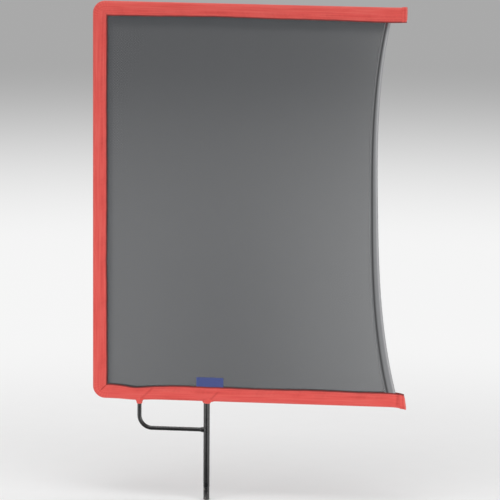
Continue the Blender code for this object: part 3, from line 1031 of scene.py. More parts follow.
        x, z = self.flat_place(along[:, None], out)
        for corner_at_end in (False, True) if self.two_corners else (False,):
            picked = (share < 1) & (far == corner_at_end)
            turned, outwards = self.at_corner(out[picked], share[picked], self.corner_run)
            straight = self.length - 2 * FLAG.bend_r
            if corner_at_end:
                turned = straight - turned
            x[picked], z[picked] = self.flat_place(turned, outwards - FLAG.bend_r)
        worn = 0.30 * bell(ring.place[:, 0] - FLAG.nose_r, 1.6 * MM)
        from_edge = np.minimum(ring.across, ring.width - ring.across)
        # A painted shadow along both free edges
        edge_shadow_mask = 1 - ease(from_edge, self.painted_edge_shadow - 0.4 * MM, self.painted_edge_shadow + 0.3 * MM)
        # sunk carries painted shade into the creases and seams
        values = {"worn": worn, "sunk": np.clip(-push / (1.3 * MM), 0.0, 0.7), "painted_edge_shadow": edge_shadow_mask}
        made = surface(
            self.name + "_canvas",
            np.stack([x, back, z], -1),
            closed_cloth(along[:, None], across, out.shape),
            ring=True,
            caps=Caps.STRIP,
            values=values,
        )
        dress(made, finish, "red_canvas", self.name)
        LOG.info("%s: canvas %.0f by %.0f mm", self.name, ring.width * 1e3, self.length * 1e3)
        return made

    def stitches(self, thread: bpy.types.Material) -> bpy.types.Object:
        """Rows of stitches through both layers, drawn in on the front and the back.

        Args:
            thread: the thread's finish.

        Returns:
            One piece with all of the strip's stitches.
        """
        straight = self.length - FLAG.bend_r * (2 if self.two_corners else 1)
        centres, ways, faces = [], [], []
        section = self.section()
        half = section.half + FLAG.canvas / 2
        section_width = section.line()[1][-1]
        for k, row in enumerate(self.rows_at):
            out = row - FLAG.casing_reach
            start = max(1.2 * MM, 1.2 * MM - (out + FLAG.bend_r))
            end = straight - start if self.two_corners else straight - 1.5 * MM
            count = round((end - start) / self.stitch)
            along = np.linspace(start, end, count) + 0.4 * MM * k
            for face, lean in zip((-1.0, 1.0), self.free_edges(along)):
                shift = lean * (1 - row / self.steady_from)
                x, z = self.flat_place(along, out + shift)
                x2, z2 = self.flat_place(along + 0.5 * MM, out + shift)
                across = np.full_like(along, row if face < 0 else section_width - row)
                sunk = self.push(x, z, along, across, section_width)
                y = face * (half + sunk + 0.05 * MM)
                centres.append(np.stack([x, y, z], -1))
                ways.append(unit(np.stack([x2 - x, 0 * x, z2 - z], -1)))
                faces.append(np.full(len(x), face))
        made = stitch_rows(
            self.name + "_stitches",
            np.concatenate(centres),
            np.concatenate(ways),
            np.concatenate(faces),
        )
        dress(made, thread, "red_canvas")
        LOG.info("%s: %d stitches", self.name, len(np.concatenate(centres)))
        return made


def stitch_rows(
    name: str,
    centres: Array,
    ways: Array,
    faces: Array,
    length: float = 2.3 * MM,
    radius: float = 0.27 * MM,
) -> bpy.types.Object:
    """Many stitches in one piece.

    A stitch is a six-sided bar along its way. Its radius falls to its ends as the root of
    1 less the square of the share, and its ends dive into the cloth by that square.

    Args:
        name: the piece's name.
        centres: the stitches' middles.
        ways: unit vectors along them.
        faces: -1 for a stitch on the front of the cloth, and 1 for one on its back.
        length: of a stitch.
        radius: of the thread.

    Returns:
        The piece.
    """
    share = np.linspace(-0.98, 0.98, 6)
    angle = around(6)
    thick = radius * np.sqrt(1 - share**2)
    side = np.cross(ways, [0.0, 1.0, 0.0])
    depth = -0.9 * radius * share[:, None] ** 2 + thick[:, None] * np.cos(angle)
    aside = thick[:, None] * np.sin(angle)
    points = (
        centres[:, None, None, :]
        + ways[:, None, None, :] * (share * length / 2)[:, None, None]
        + side[:, None, None, :] * aside[..., None]
    )
    points[..., 1] += faces[:, None, None] * depth
    count, rings, sides = points.shape[:3]
    first = (np.arange(count) * rings * sides)[:, None, None]
    row, column = np.meshgrid(np.arange(rings - 1), np.arange(sides), indexing="ij")
    a = row * sides + column
    b = row * sides + (column + 1) % sides
    quads = np.stack([a, b, b + sides, a + sides], -1).reshape(1, -1, 4) + first
    cap = np.array([np.arange(sides), np.arange(sides) + (rings - 1) * sides])
    ends = cap[None] + first
    mesh = bpy.data.meshes.new(name)
    mesh.from_pydata(
        points.reshape(-1, 3), [], quads.reshape(-1, 4).tolist() + ends.reshape(-1, sides).tolist()
    )
    return smooth_object(mesh, Faces.OUTWARDS)


@dataclass
class Boot:
    """Canvas gathered down from the lower casing into a sleeve round the pin or brace.

    Its level sections are ovals. The long half grows with the cube of the height above
    the foot, as does the way its centre moves aside. Gathers ripple its side, deepest
    at the casing's fold.
    """

    name: str
    x: float
    stock_r: float
    foot: float
    spread: float
    slant: float
    gathers: int
    flat: tuple[float, float]
    aside: float = 0.0  # how far its top is drawn towards the open side
    rings: int = 40
    sides: int = 144
    cloth: float = 0.8 * MM
    overlap: float = 3.6 * MM  # how far it goes up past the casing's fold
    gather_depth: float = 0.30 * MM
    uneven: float = 0.12 * MM

    def build(self, finish: bpy.types.Material) -> bpy.types.Object:
        """Makes the boot as a closed skin: outside, round its foot, and up inside.

        Args:
            finish: the canvas.

        Returns:
            The piece.
        """
        fold = FLAG.lower_z - FLAG.nose_r
        top = fold + self.overlap
        share = np.linspace(2.0, 0.0, self.rings)
        angle = around(self.sides)
        hem = np.radians(np.linspace(0, 180, 7))[1:-1]
        outer = self.stock_r + FLAG.gap + self.cloth
        saddle = max(FLAG.nose_r + 0.5 * MM, outer)

        def wall(share: Array, cloth: Array) -> Array:
            """Points of the wall, set in by part of the cloth.

            A share runs from 0 at the foot to 1 at the casing's fold and 2 at the top.
            """
            s = share[:, None]
            low, high = np.clip(s, 0.0, 1.0), np.clip(s - 1, 0.0, 1.0)
            across = outer + (self.spread - outer) * low**3
            deep = outer + (saddle - outer) * low
            deep = deep + (FLAG.nose_r + 0.1 * MM - deep) * ease(high, 0.0, 1.0)
            bulge = np.sin(math.pi * np.clip(s, 0.0, 2.0) / 2)
            ripple = self.gather_depth * bulge * np.cos(self.gathers * angle)
            ripple = ripple + self.uneven * np.cos(3 * angle + 5 * low) * bulge
            inset = cloth[:, None]
            x = self.x + self.aside * low**3 + (across + ripple - inset) * np.cos(angle)
            y = (deep + ripple - inset) * np.sin(angle)
            level = self.foot + (fold - self.foot) * np.minimum(s, 1.0) + (top - fold) * high
            lean = self.slant * (1 - low) ** 2 * across * np.cos(angle)
            return np.stack([x, y, level + lean], -1)

        half = self.cloth / 2
        outside = wall(share, np.zeros(self.rings))
        rounding = half / (fold - self.foot)
        round_foot = wall(-rounding * np.sin(hem), half - half * np.cos(hem))
        inside = wall(share[::-1], np.full(self.rings, self.cloth))
        points = np.concatenate([outside, round_foot, inside])
        rows = len(points)
        run = np.linspace(0, 2 * (top - self.foot), rows + 1)
        turn = np.linspace(0, 2 * math.pi * outer, self.sides + 1)
        cloth = np.stack(np.meshgrid(run, turn, indexing="ij"), -1)
        foot = bell(points[..., 2] - points[self.rings, :, 2], 1.2 * MM)
        made = surface(
            self.name + "_canvas",
            points,
            cloth,
            ring=True,
            loop=True,
            values={"worn": 0.5 * foot},
        )
        dress(made, finish, "red_canvas", self.name)
        LOG.info("%s: gathered canvas", self.name)
        return made


@dataclass
class EndPatch:
    """Canvas folded over an arm's end, outside the casing, and sewn down round it.

    Its section is a closed loop round the casing's fold. It runs from its turned-in mouth
    to a rounded rim and a flat end.
    """

    name: str
    casing: Casing
    length: float
    flat: tuple[float, float]
    cloth: float = 0.35 * MM
    gap: float = 0.15 * MM
    rim: float = 1.0 * MM  # radius of its rounded end
    cut: float = 2.2 * MM  # off the end's corner at the free edge
    waver: float = 0.14 * MM
    puff: float = 0.12 * MM  # how far its middle stands out
    seam_from_end: float = 3.6 * MM
    seam_depth: float = 0.3 * MM
    inner_rows: int = 8
    outer_rows: int = 24
    rim_rows: int = 6

    def loop_line(self, out: float) -> tuple[Array, Array]:
        """The closed section this far outside the casing's own cloth, and its normals."""
        edge_r = 1.2 * MM
        section = FoldSection(
            nose_r=FLAG.nose_r + out,
            half=FLAG.flange_half_gap + FLAG.canvas + out,
            start=FLAG.flange_start,
            front=FLAG.casing_reach + 0.4 * out - edge_r,
            back=FLAG.casing_reach + 0.4 * out - edge_r,
            thickness=0.0,
            step=0.8 * MM,
        )
        turn = np.radians(np.linspace(90, -90, 9))
        edge = [-section.front - edge_r * np.cos(turn), section.half * np.sin(turn)]
        loop = np.concatenate([section.line()[0][:-1], np.column_stack(edge)])
        run = np.concatenate([[0], np.linalg.norm(np.diff(loop, axis=0), axis=1).cumsum()])
        even = np.linspace(0, run[-1], 97)[:-1]
        points = np.column_stack([np.interp(even, run, loop[:, k]) for k in (0, 1)])
        way = unit(np.roll(points, -1, axis=0) - np.roll(points, 1, axis=0))
        return points, np.column_stack([way[:, 1], -way[:, 0]])

    def build(self, finish: bpy.types.Material) -> bpy.types.Object:
        """Makes the patch as a cap: up its inside, round its mouth, and over its end.

        Args:
            finish: the canvas.

        Returns:
            The piece.
        """
        end = self.casing.length - FLAG.bend_r
        start = end - self.length
        turn = np.linspace(0, math.pi / 2, self.rim_rows)
        body = np.linspace(start, end - self.rim, self.outer_rows)

        def rows(out: float, along: Array, drawn: Array) -> Array:
            """The section at these places, each drawn in by a distance."""
            line, normal = self.loop_line(out)
            flat = line - normal * drawn[:, None, None]
            wave = self.waver * waves(along, (9 * MM, 17 * MM), 5.0 + self.length * 100)
            # The end's corner at the free edge is cut off round
            cut = self.cut * ease(-flat[..., 0], 12 * MM, 19 * MM) ** 2
            kept = ease(along, end - 5 * MM, end)[:, None]
            x, z = self.casing.flat_place(along[:, None] - cut * kept, flat[..., 0] + wave[:, None])
            return np.stack([x, flat[..., 1], z], -1)

        inside = np.linspace(end - self.cloth - 0.1 * MM, start, self.inner_rows)
        outside = self.gap + self.cloth
        drawn_in = -self.puff * np.sin(math.pi * (body - start) / self.length) ** 2
        drawn_in = drawn_in + self.seam_depth * bell(body - end + self.seam_from_end, 0.6 * MM)
        points = np.concatenate(
            [
                rows(self.gap, inside, np.zeros(self.inner_rows)),
                rows(outside, body, drawn_in * (body < end - 2 * self.rim)),
                rows(outside, end - self.rim + self.rim * np.sin(turn), self.rim * (1 - np.cos(turn))),
            ]
        )
        count, columns = points.shape[:2]
        run = np.linspace(0, 2 * self.length + 6 * MM, count)
        across = np.linspace(0, 2.4 * FLAG.casing_reach, columns + 1)
        cloth = np.stack(np.meshgrid(run, across, indexing="ij"), -1)
        row = np.arange(count)[:, None]
        mouth = bell(row - self.inner_rows, 1.2)
        out = self.loop_line(outside)[0][:, 0]
        # A painted shadow along the patch's free edge
        edge_shadow_mask = 1 - ease(out + FLAG.casing_reach, 0.9 * MM, 1.7 * MM)
        placed = np.concatenate([inside, body, np.full(self.rim_rows, end - self.rim / 2)])[:, None]
        seam = bell(placed - end + self.seam_from_end, 0.5 * MM) * (row > self.inner_rows)
        last = ease(placed, end - 1.5 * MM, end - 0.8 * MM)
        made = surface(
            self.name + "_canvas",
            points,
            cloth,
            ring=True,
            caps=Caps.FLAT,
            values={
                "worn": 0.3 * mouth + 0.8 * last,
                # painted shade in the patch's mouth and along its seam
                "sunk": 0.5 * mouth + 0.45 * seam,
                "painted_edge_shadow": edge_shadow_mask,
            },
        )
        dress(made, finish, "red_canvas", self.name)
        LOG.info("%s: folded canvas", self.name)
        return made


@dataclass
class Binding:
    """The red canvas round the frame: three mitred casings, two boots, two end patches."""

    canvas: WovenCanvas = field(default_factory=WovenCanvas)
    thread: SewingThread = field(default_factory=SewingThread)

    def casings(self) -> dict[str, Casing]:
        """The three casings, by name."""
        lower = (FLAG.spine_x, FLAG.lower_z)
        upper = (FLAG.spine_x, FLAG.upper_z)
        bottom = Casing(
            name="casing_bottom",
            corner=lower,
            along=RIGHT,
            outward=-UP,
            length=303.0 * MM - FLAG.spine_x,
            tip=(25 * MM, -3.0 * MM, 0.128),
            creases=(
                Crease((-0.1000, 0.1555), (-0.0825, 0.1715)),
                Crease((0.0040, 0.1550), (0.0180, 0.1690)),
                Dent((-0.1623, 0.1652), 0.5 * MM, 1.3 * MM),
                Crease((0.2895, 0.1560), (0.2905, 0.1740), 0.5 * MM, 2.6 * MM),
            ),
            dips=(
                (46.2 * MM, 3.6 * MM, 19 * MM, 0.7),
                (72 * MM, 1.3 * MM, 22 * MM, 1.0),
                (124 * MM, -0.4 * MM, 40 * MM, 0.0),
                (230 * MM, 0.5 * MM, 400 * MM, 1.0),
                (236 * MM, 0.5 * MM, 25 * MM, 1.0),
                (321 * MM, -0.5 * MM, 30 * MM, 1.0),
                (382 * MM, 0.4 * MM, 20 * MM, 1.0),
            ),
            sags=((46 * MM, 1.5 * MM, 20 * MM),),
            pulls=((22 * MM, 38 * MM), (425 * MM, 34 * MM), (250 * MM, 60 * MM)),
            turn=1.0,
        )
        spine = Casing(
            name="casing_spine",
            corner=lower,
            along=UP,
            outward=-RIGHT,
            length=FLAG.upper_z - FLAG.lower_z,
            two_corners=True,
            creases=(
                Dent((-0.1623, 0.1652), 0.5 * MM, 1.3 * MM),
                Dent((-0.1639, 0.7457), 0.6 * MM, 1.6 * MM),
            ),
            dips=(
                (300 * MM, 1.05 * MM, 420 * MM, 1.0),
                (447 * MM, 0.5 * MM, 40 * MM, 1.0),
                (190 * MM, 0.65 * MM, 35 * MM, 1.0),
            ),
            painted_edge_shadow=1.3 * MM,
            turn=2.0,
        )
        top = Casing(
            name="casing_top",
            corner=upper,
            along=RIGHT,
            outward=UP,
            length=298.8 * MM - FLAG.spine_x,
            tip=(25 * MM, 0.6 * MM, 0.0),
            dips=(
                (165 * MM, 1.7 * MM, 80 * MM, 1.0),
                (305 * MM, 0.5 * MM, 60 * MM, 1.0),
                (415 * MM, -0.6 * MM, 25 * MM, 1.0),
                (220 * MM, 0.55 * MM, 320 * MM, 1.0),
            ),
            pulls=((60 * MM, 50 * MM), (330 * MM, 80 * MM)),
            seams=(0.1 * MM, 0.0),
            turn=3.0,
        )
        return {casing.name: casing for casing in (bottom, spine, top)}

    def build(self) -> None:
        """Makes and dresses every canvas piece."""
        canvas, thread = self.canvas.material(), self.thread.material()
        casings = self.casings()
        for casing in casings.values():
            casing.build(canvas)
            casing.stitches(thread)
        boots = (
            Boot(
                name="boot_pin",
                x=0.0,
                stock_r=FLAG.pin_r,
                foot=151.1 * MM,
                spread=9.3 * MM,
                aside=2.4 * MM,
                slant=-0.10,
                gathers=11,
                flat=(0.040, 0.0108),
            ),
            Boot(
                name="boot_brace",
                x=FLAG.brace_x,
                stock_r=FLAG.rod_r,
                foot=147.2 * MM,
                spread=7.2 * MM,
                slant=0.0,
                gathers=9,
                flat=(0.032, 0.0122),
            ),
        )
        for boot in boots:
            boot.build(canvas)
        for name, casing, length in (
            ("end_patch_bottom", casings["casing_bottom"], 9 * MM),
            ("end_patch_top", casings["casing_top"], 8 * MM),
        ):
            EndPatch(name, casing, length, (0.050, length + 3 * MM)).build(canvas)


# Net and its open side


@dataclass
class OpenSide:
    """The net's bowed side: a hem that widens downwards, with a cord in its fold.

    With t from 0 at the top to 1 at the bottom, the side bows in from the straight line
    between its ends by bow * (1 - |2t - 1| ** power).
    """

    top_x: float = 274.3 * MM
    bottom_x: float = 287.3 * MM
    bow: float = 23.0 * MM
    power: float = 2.8
    top_width: float = 8.5 * MM
    bottom_width: float = 15.0 * MM
    selvedge: float = 2.9 * MM  # from the seam to the tape's inner edge
    fold_r: float = 1.5 * MM
    flat_from: float = 4.0 * MM  # from the cord's centre to where its layers lie flat
    cloth: float = 0.4 * MM
    length: float = 563 * MM
    tucked: float = 0.006  # share of its length inside either casing
    half: float = 1.05 * MM  # from the net's plane to a flat layer's middle
    ripple: float = 0.22 * MM  # at its free edges
    lumps: float = 0.10 * MM  # along the cord
    seam_depth: float = 0.3 * MM
    rows: int = 330
    tape: HemTape = field(default_factory=HemTape)
    thread: SewingThread = field(
        default_factory=lambda: SewingThread(name="wine_thread", colour="#5f3d43")
    )

    def edge(self, t: Array) -> tuple[Array, Array]:
        """The hem's outer side and the way out of it.

        Args:
            t: shares of the way down.

        Returns:
            (x, z) places, and unit (x, z) vectors out from the net.
        """
        top = np.array([self.top_x, FLAG.upper_z - FLAG.casing_reach])
        low = np.array([self.bottom_x, FLAG.lower_z + FLAG.casing_reach])
        chord = unit(low - top)
        out = np.array([-chord[1], chord[0]])
        bowed = self.bow * (1 - np.abs(2 * t - 1) ** self.power)
        place = top + (low - top) * t[:, None] - out * bowed[:, None]
        way = unit(np.gradient(place, axis=0))
        return place, np.column_stack([-way[:, 1], way[:, 0]])

    def build_hem(self) -> bpy.types.Object:
        """Makes the hem: tape folded round the cord, its flat layers sewn to the net."""
        t = np.linspace(-self.tucked, 1 + self.tucked, self.rows)
        place, out = self.edge(t)
        middle_r = self.fold_r - self.cloth / 2
        reach = self.bottom_width - self.fold_r
        section = FoldSection(
            nose_r=middle_r,
            half=self.half,
            start=self.flat_from,
            front=reach,
            back=reach,
            thickness=self.cloth,
            step=0.45 * MM,
        )
        ring = section.ring()
        width = self.top_width + (self.bottom_width - self.top_width) * np.clip(t, 0, 1)
        # The flat layers are drawn out or in to the width that the hem has here
        wanted = (width - self.fold_r - self.flat_from)[:, None] / (reach - self.flat_from)
        flat = np.minimum(ring.place[:, 0] + self.flat_from, 0)
        outwards = ring.place[:, 0] + flat * (wanted - 1)
        run = t * self.length
        from_edge = np.minimum(ring.across, ring.width - ring.across)
        ripple = self.ripple * waves(run, (11 * MM, 17 * MM, 29 * MM), 4.0)[:, None]
        ripple = ripple * bell(from_edge, 3.0 * MM)
        cord = self.lumps * waves(run, (7 * MM, 13 * MM), 1.0)[:, None] * (from_edge > 6 * MM)
        # How far a point lies past the seam, towards the net
        past = self.fold_r - outwards - (width - self.selvedge)[:, None]
        push = cord - ripple * np.sign(ring.push[:, 1]) - self.seam_depth * bell(past, 1.3 * MM)
        outwards = outwards + ring.push[:, 0] * push
        back = ring.place[:, 1] + ring.push[:, 1] * push
        centre = place - out * self.fold_r
        x = centre[:, :1] + out[:, :1] * outwards
        z = centre[:, 1:] + out[:, 1:] * outwards
        # Near the top, under the upper casing, painted shade: the fold's painted highlight is weaker
        # and the dark seam band is wider
        near_top = 1 - ease(t, 0.0, 0.045)[:, None]
        values = {
            # painted highlight along the fold, weaker near the top
            "ridge": bell(ring.place[:, 0] + 0.2 * MM, 1.5 * MM) * (1 - 0.6 * near_top),
            "seam": bell(past, (1.6 + 0.7 * near_top + 0.4 * t[:, None]) * MM),
            "selvedge": ease(past, 0.4 * MM, 1.4 * MM),
        }
        made = surface(
            "edge_hem_tape",
            np.stack([x, back, z], -1),
            closed_cloth(run[:, None], ring.across, x.shape),
            ring=True,
            caps=Caps.STRIP,
            values=values,
        )
        dress(made, self.tape.material(), "hem_net", "edge_hem")
        LOG.info("edge_hem: tape folded over the cord")
        return made

    def build_tack(self) -> bpy.types.Object:
        """Makes a bar tack over the seam at the hem's top: short stitches side by side."""
        place, out = self.edge(np.linspace(0.004, 0.013, 9))
        across = self.top_width - self.selvedge + 0.4 * MM
        x, z = (place - out * across).T
        centres = np.stack([x, 0 * x - 1.2 * MM, z], -1)
        ways = np.stack([out[:, 0], 0 * x, out[:, 1]], -1)
        made = stitch_rows("hem_bar_tack", centres, ways, -np.ones(len(x)), length=4.2 * MM)
        dress(made, self.thread.material(), "red_canvas")
        LOG.info("hem_bar_tack: %d stitches", len(x))
        return made


@dataclass
class NetPanel:
    """Two layers of net, sewn into the casings and drawn out to the hem.

    A layer is a sheet on a grid. It swells by a fraction of a millimetre in long shallow
    pulls that fan out from the two ends of its open side, where it is drawn hardest.
    """

    side: OpenSide
    in_casing: float = 12.0 * MM
    from_side: float = 3.3 * MM  # from the hem's outer side to the net's last thread
    pull_depth: float = 0.20 * MM
    columns: int = 150
    rows: int = 190

    def closeness(self, x: Array, z: Array, share: Array) -> Array:
        """How much closer than plain net it is, less than 0 where it is wider.

        It is turned over on itself under the upper casing and beside the spine. Its holes
        are drawn wide towards the open side, most at that side's upper end, and stay
        smallest low in the middle. These changes in cover also paint the net's light and
        shade over the pale floor: lighter towards the open side, darker low in the middle.

        Args:
            x: places along the flag.
            z: their heights.
            share: shares of the way to the open side.

        Returns:
            1 where it is turned over, and 0 where it is plain.
        """
        below = FLAG.upper_z - FLAG.casing_reach - z
        beside = x - FLAG.spine_x - FLAG.casing_reach
        turned_over = 1 - ease(below, 4 * MM, 20 * MM)
        turned_over = np.maximum(turned_over, 0.6 * (1 - ease(beside, 2 * MM, 9 * MM)))
        # Painted light: thinner towards the open side, most at its upper end, and along a band 0.15 m
        # below the top
        drawn = 0.40 * share**3 + 0.36 * share**12 * bell(below, 0.14)
        drawn = drawn + 0.08 * bell(below - 0.15, 0.08)
        # Painted shade: closer, and so darker, low in the middle
        slack = 0.20 * bell(share - 0.45, 0.25) * ease(below, 0.05, 0.55)
        return turned_over - drawn + slack

    def layer(self, name: str, y: float, finish: Bobbinet) -> bpy.types.Object:
        """Makes one layer.

        Args:
            name: the CAD node that it stands for.
            y: the level of its plane.
            finish: its net.

        Returns:
            The piece.
        """
        down = np.linspace(0, 1, self.rows)
        top, low = FLAG.upper_z - self.in_casing, FLAG.lower_z + self.in_casing
        height = top + (low - top) * down
        t = np.linspace(-0.03, 1.03, 400)
        place, _ = self.side.edge(t)
        right = np.interp(-height, -place[:, 1], place[:, 0]) - self.from_side
        left = FLAG.spine_x + self.in_casing
        share = np.linspace(0, 1, self.columns)
        x = left + (right[:, None] - left) * share
        z = np.broadcast_to(height[:, None], x.shape)
        pull = np.zeros_like(x)
        for corner_z, turn in ((top, 1.0), (low, 2.0)):
            dx, dz = right.max() - x, z - corner_z
            angle = np.arctan2(np.abs(dz) + 0.02, dx + 0.02)
            far = np.hypot(dx, dz)
            pull += waves(angle, (0.21, 0.33, 0.12), turn) * bell(far - 0.05, 0.16)
        inside = np.minimum(ease(share, 0, 0.06), ease(1 - share, 0, 0.04))
        inside = inside * np.minimum(ease(down, 0, 0.05), ease(1 - down, 0, 0.05))[:, None]
        depth = y + self.pull_depth * pull * inside
        made = surface(
            name + "_mesh",
            np.stack([x, depth, z], -1),
            np.stack([x, z], -1),
            values={"closer": self.closeness(x, z, share)},
            looks=Faces.OTHER_WAY if y > 0 else Faces.AS_MADE,
        )
        dress(made, finish.material(), "black_net", name)
        return made

    def build(self) -> None:
        """Makes the front and the back layer, their meshes turned against each other."""
        self.layer("net_front", -0.4 * MM, Bobbinet("bobbinet_front", turned=0.0))
        self.layer("net_back", 0.4 * MM, Bobbinet("bobbinet_back", turned=30.0))


@dataclass
class Label:
    """A bare woven label, its lower edge behind the lower casing's front layer."""

    left: float = -15.8 * MM
    right: float = 25.4 * MM
    low: float = 171.8 * MM
    high: float = 190.3 * MM
    front: float = -1.25 * MM
    thick: float = 0.3 * MM
    curl: float = 0.35 * MM  # of its two upper corners
    ripple: float = 0.08 * MM
    fray: float = 0.12 * MM  # of its two cut sides
    ribbon: WovenRibbon = field(default_factory=WovenRibbon)

    def build(self) -> bpy.types.Object:
        """Makes the label: a thin skin round a sheet that curls at its free corners."""
        across = np.linspace(0, 1, 60)
        up = np.linspace(0, 1, 28)
        x = self.left + (self.right - self.left) * across
        z = self.low + (self.high - self.low) * up
        grid_x, grid_z = np.meshgrid(x, z, indexing="ij")
        share = np.meshgrid(across, up, indexing="ij")
        curl = self.curl * np.abs(2 * share[0] - 1) ** 5 * share[1] ** 3
        lift = curl + self.ripple * waves(grid_x, (11 * MM, 19 * MM), 2.0) * share[1]
        frayed = self.fray * waves(grid_z, (1.9 * MM, 3.1 * MM), 1.0)
        grid_x = grid_x + frayed * (2 * share[0] - 1) ** 9
        face = np.stack([grid_x, self.front - lift, grid_z], -1)
        rear = np.stack([grid_x, self.front - lift + self.thick, grid_z], -1)
        points = np.concatenate([face, rear[:, ::-1]], axis=1)
        place = np.stack([grid_x - self.left, grid_z - self.low], -1)
        cloth = np.concatenate([place, place[:, ::-1], place[:, :1]], axis=1)
        made = surface("label_ribbon", points, cloth, ring=True, caps=Caps.STRIP)
        dress(made, self.ribbon.material(), "blue_label", "label")
        LOG.info("label: bare woven ribbon")
        return made


# Steel


@dataclass
class SteelFrame:
    """The welded steel: the rod inside the canvas, the pin, the brace and the beads."""

    paint: PaintedSteel = field(default_factory=lambda: PaintedSteel(specular=0.8))
    pin_paint: PaintedSteel = field(
        default_factory=lambda: PaintedSteel(
            name="black_oxide_steel",
            colour="#121213",
            specular=1.0,
            worn_below=0.004,
            worn_over=0.03,
        )
    )
    chamfer: float = 0.9 * MM
    neck: float = 20 * MM  # the foot is turned down a little over this length
    turned_down: float = 0.22 * MM
    waver: float = 0.02 * MM  # of a painted bar's radius
    score: tuple[float, float] = (34 * MM, 0.06 * MM)  # a line round it: height, depth
    chip: tuple[float, float, float] = (-2.7 * MM, -3.8 * MM, 17 * MM)  # in the finish
    bead_length: float = 4.6 * MM
    bead_height: float = 0.75 * MM  # over the brace
    bead_ripple: float = 0.14 * MM
    bead_uneven: float = 0.25 * MM

    def turned(self, name: str, profile: Array, sides: int = 96) -> bpy.types.Object:
        """A piece turned about the pin's axis.

        Args:
            name: the piece's name.
            profile: (radius, height) points from the foot up.
            sides: of its rings.

        Returns:
            The piece, closed by its first and last rings.
        """
        angle = around(sides)
        radius, height = profile[:, :1], profile[:, 1:]
        points = np.stack([radius * np.cos(angle), radius * np.sin(angle), height + 0 * angle], -1)
        from_chip = np.linalg.norm((points - self.chip) * [1.0, 1.0, 0.7], axis=-1)
        worn = 0.5 * bell(from_chip, 1.2 * MM)
        return surface(name, points, ring=True, caps=Caps.FLAT, values={"worn": worn})

    def pin_profile(self) -> Array:
        """The pin's outline: a faced end, a chamfer, a slightly turned-down foot, a shank.

        The shank's radius wavers by a few hundredths, as hand-filed and painted bar does.
        """
        r, c = FLAG.pin_r, self.chamfer
        head = FLAG.lower_z - FLAG.rod_r - 1.6 * MM
        foot_r = r - self.turned_down
        z = np.concatenate(
            [np.linspace(c, self.neck, 40), np.linspace(self.neck + 0.5 * MM, head, 220)]
        )
        shank = foot_r + (r - foot_r) * ease(z, self.neck - 1 * MM, self.neck + 0.5 * MM)
        shank = shank + self.waver * waves(z, (13 * MM, 31 * MM), 1.0)
        shank = shank - self.score[1] * bell(z - self.score[0], 1.0 * MM)
        end = [(0.6 * (r - c), 0.0), (foot_r - c - 0.1 * MM, 0.0), (foot_r - c, 0.04 * MM)]
        return np.concatenate([end, np.column_stack([shank, z])])

    def bar(self, name: str, line: Array, radius: Array, sides: int = 48) -> bpy.types.Object:
        """A round bar along a line in the flag's plane.

        Each ring is square to the line: the line's own normal in the plane times the
        sine, and the plane's normal times the cosine, of the angle round it.
        """
        way = unit(np.gradient(line, axis=0))
        normal = np.column_stack([-way[:, 1], way[:, 0]])
        angle = around(sides)
        radius = np.broadcast_to(radius, len(line))[:, None]
        x = line[:, :1] + normal[:, :1] * radius * np.sin(angle)
        z = line[:, 1:] + normal[:, 1:] * radius * np.sin(angle)
        y = radius * np.cos(angle)
        return surface(name, np.stack([x, y, z], -1), ring=True, caps=Caps.FLAT)

    def brace_line(self) -> Array:
        """The brace's centreline: down from the arm, round its bend, and in to the pin."""
        r = FLAG.brace_bend_r
        turn = np.linspace(0, math.pi / 2, 40)
        centre = np.array([FLAG.brace_x + r, FLAG.brace_z + r])
        bend = centre - r * np.column_stack([np.cos(turn), np.sin(turn)])
        top = FLAG.lower_z - FLAG.rod_r - FLAG.gap
        down = np.linspace(top, FLAG.brace_z + r, 30)[:-1]
        leg = np.column_stack([np.full(len(down), FLAG.brace_x), down])
        in_x = np.linspace(FLAG.brace_x + r, -FLAG.pin_r - FLAG.gap, 50)[1:]
        arm = np.column_stack([in_x, np.full(len(in_x), FLAG.brace_z)])
        return np.concatenate([leg, bend, arm])

    def bead(self, name: str) -> bpy.types.Object:
        """The bead round the brace's end at the pin: overlapping ripples of weld metal.

        Its radius is the brace's plus a quarter of an ellipse along it. Round the brace
        it swells and sinks once for each ripple, and the ripples lean along the bead.
        """
        turn = np.linspace(0, math.pi / 2, 20)[:, None]
        angle = around(96)
        ripple = self.bead_ripple * np.abs(np.sin(5 * angle + 2.2 * turn)) ** 0.7 * np.cos(turn)
        uneven = self.bead_uneven * waves(angle, (2 * math.pi, math.pi), 1.0) * np.cos(turn)
        swell = self.bead_height * np.cos(turn) ** 0.8
        radius = FLAG.rod_r - 0.1 * MM + swell + ripple + uneven
        # The ring's near end follows the pin's round side
        across = radius * np.cos(angle)
        up = radius * np.sin(angle)
        round_pin = np.sqrt(np.maximum(FLAG.pin_r**2 - across**2, 0)) - 0.4 * MM
        x = -(round_pin * np.cos(turn) + FLAG.pin_r * (1 - np.cos(turn)))
        x = x - self.bead_length * np.sin(turn)
        points = np.stack([x, across, FLAG.brace_z + up], -1)
        return surface(name, points, ring=True, caps=Caps.FLAT)

    def build(self) -> None:
        """Makes the visible steel, and dresses the solids that stay."""
        paint, pin_paint = self.paint.material(), self.pin_paint.material()
        pin = self.turned("pin_turned", self.pin_profile())
        line = self.brace_line()
        wobble = self.waver * waves(np.linspace(0, 0.15, len(line)), (9 * MM, 21 * MM), 1.0)
        brace = self.bar("brace_bent", line, FLAG.rod_r + wobble)
        bead = self.bead("brace_bead")
        for piece, stands_for, finish, slot in (
            (pin, "pin", pin_paint, "pin_steel"),
            (brace, "brace", paint, "frame_steel"),
            (bead, "weld_brace_to_pin", paint, "frame_steel"),
        ):
            dress(piece, finish, slot, stands_for)
            LOG.info("%s: painted steel", stands_for)
        for name in ("frame_rod", "weld_pin_to_arm", "weld_brace_to_arm"):
            repaint(name, paint)


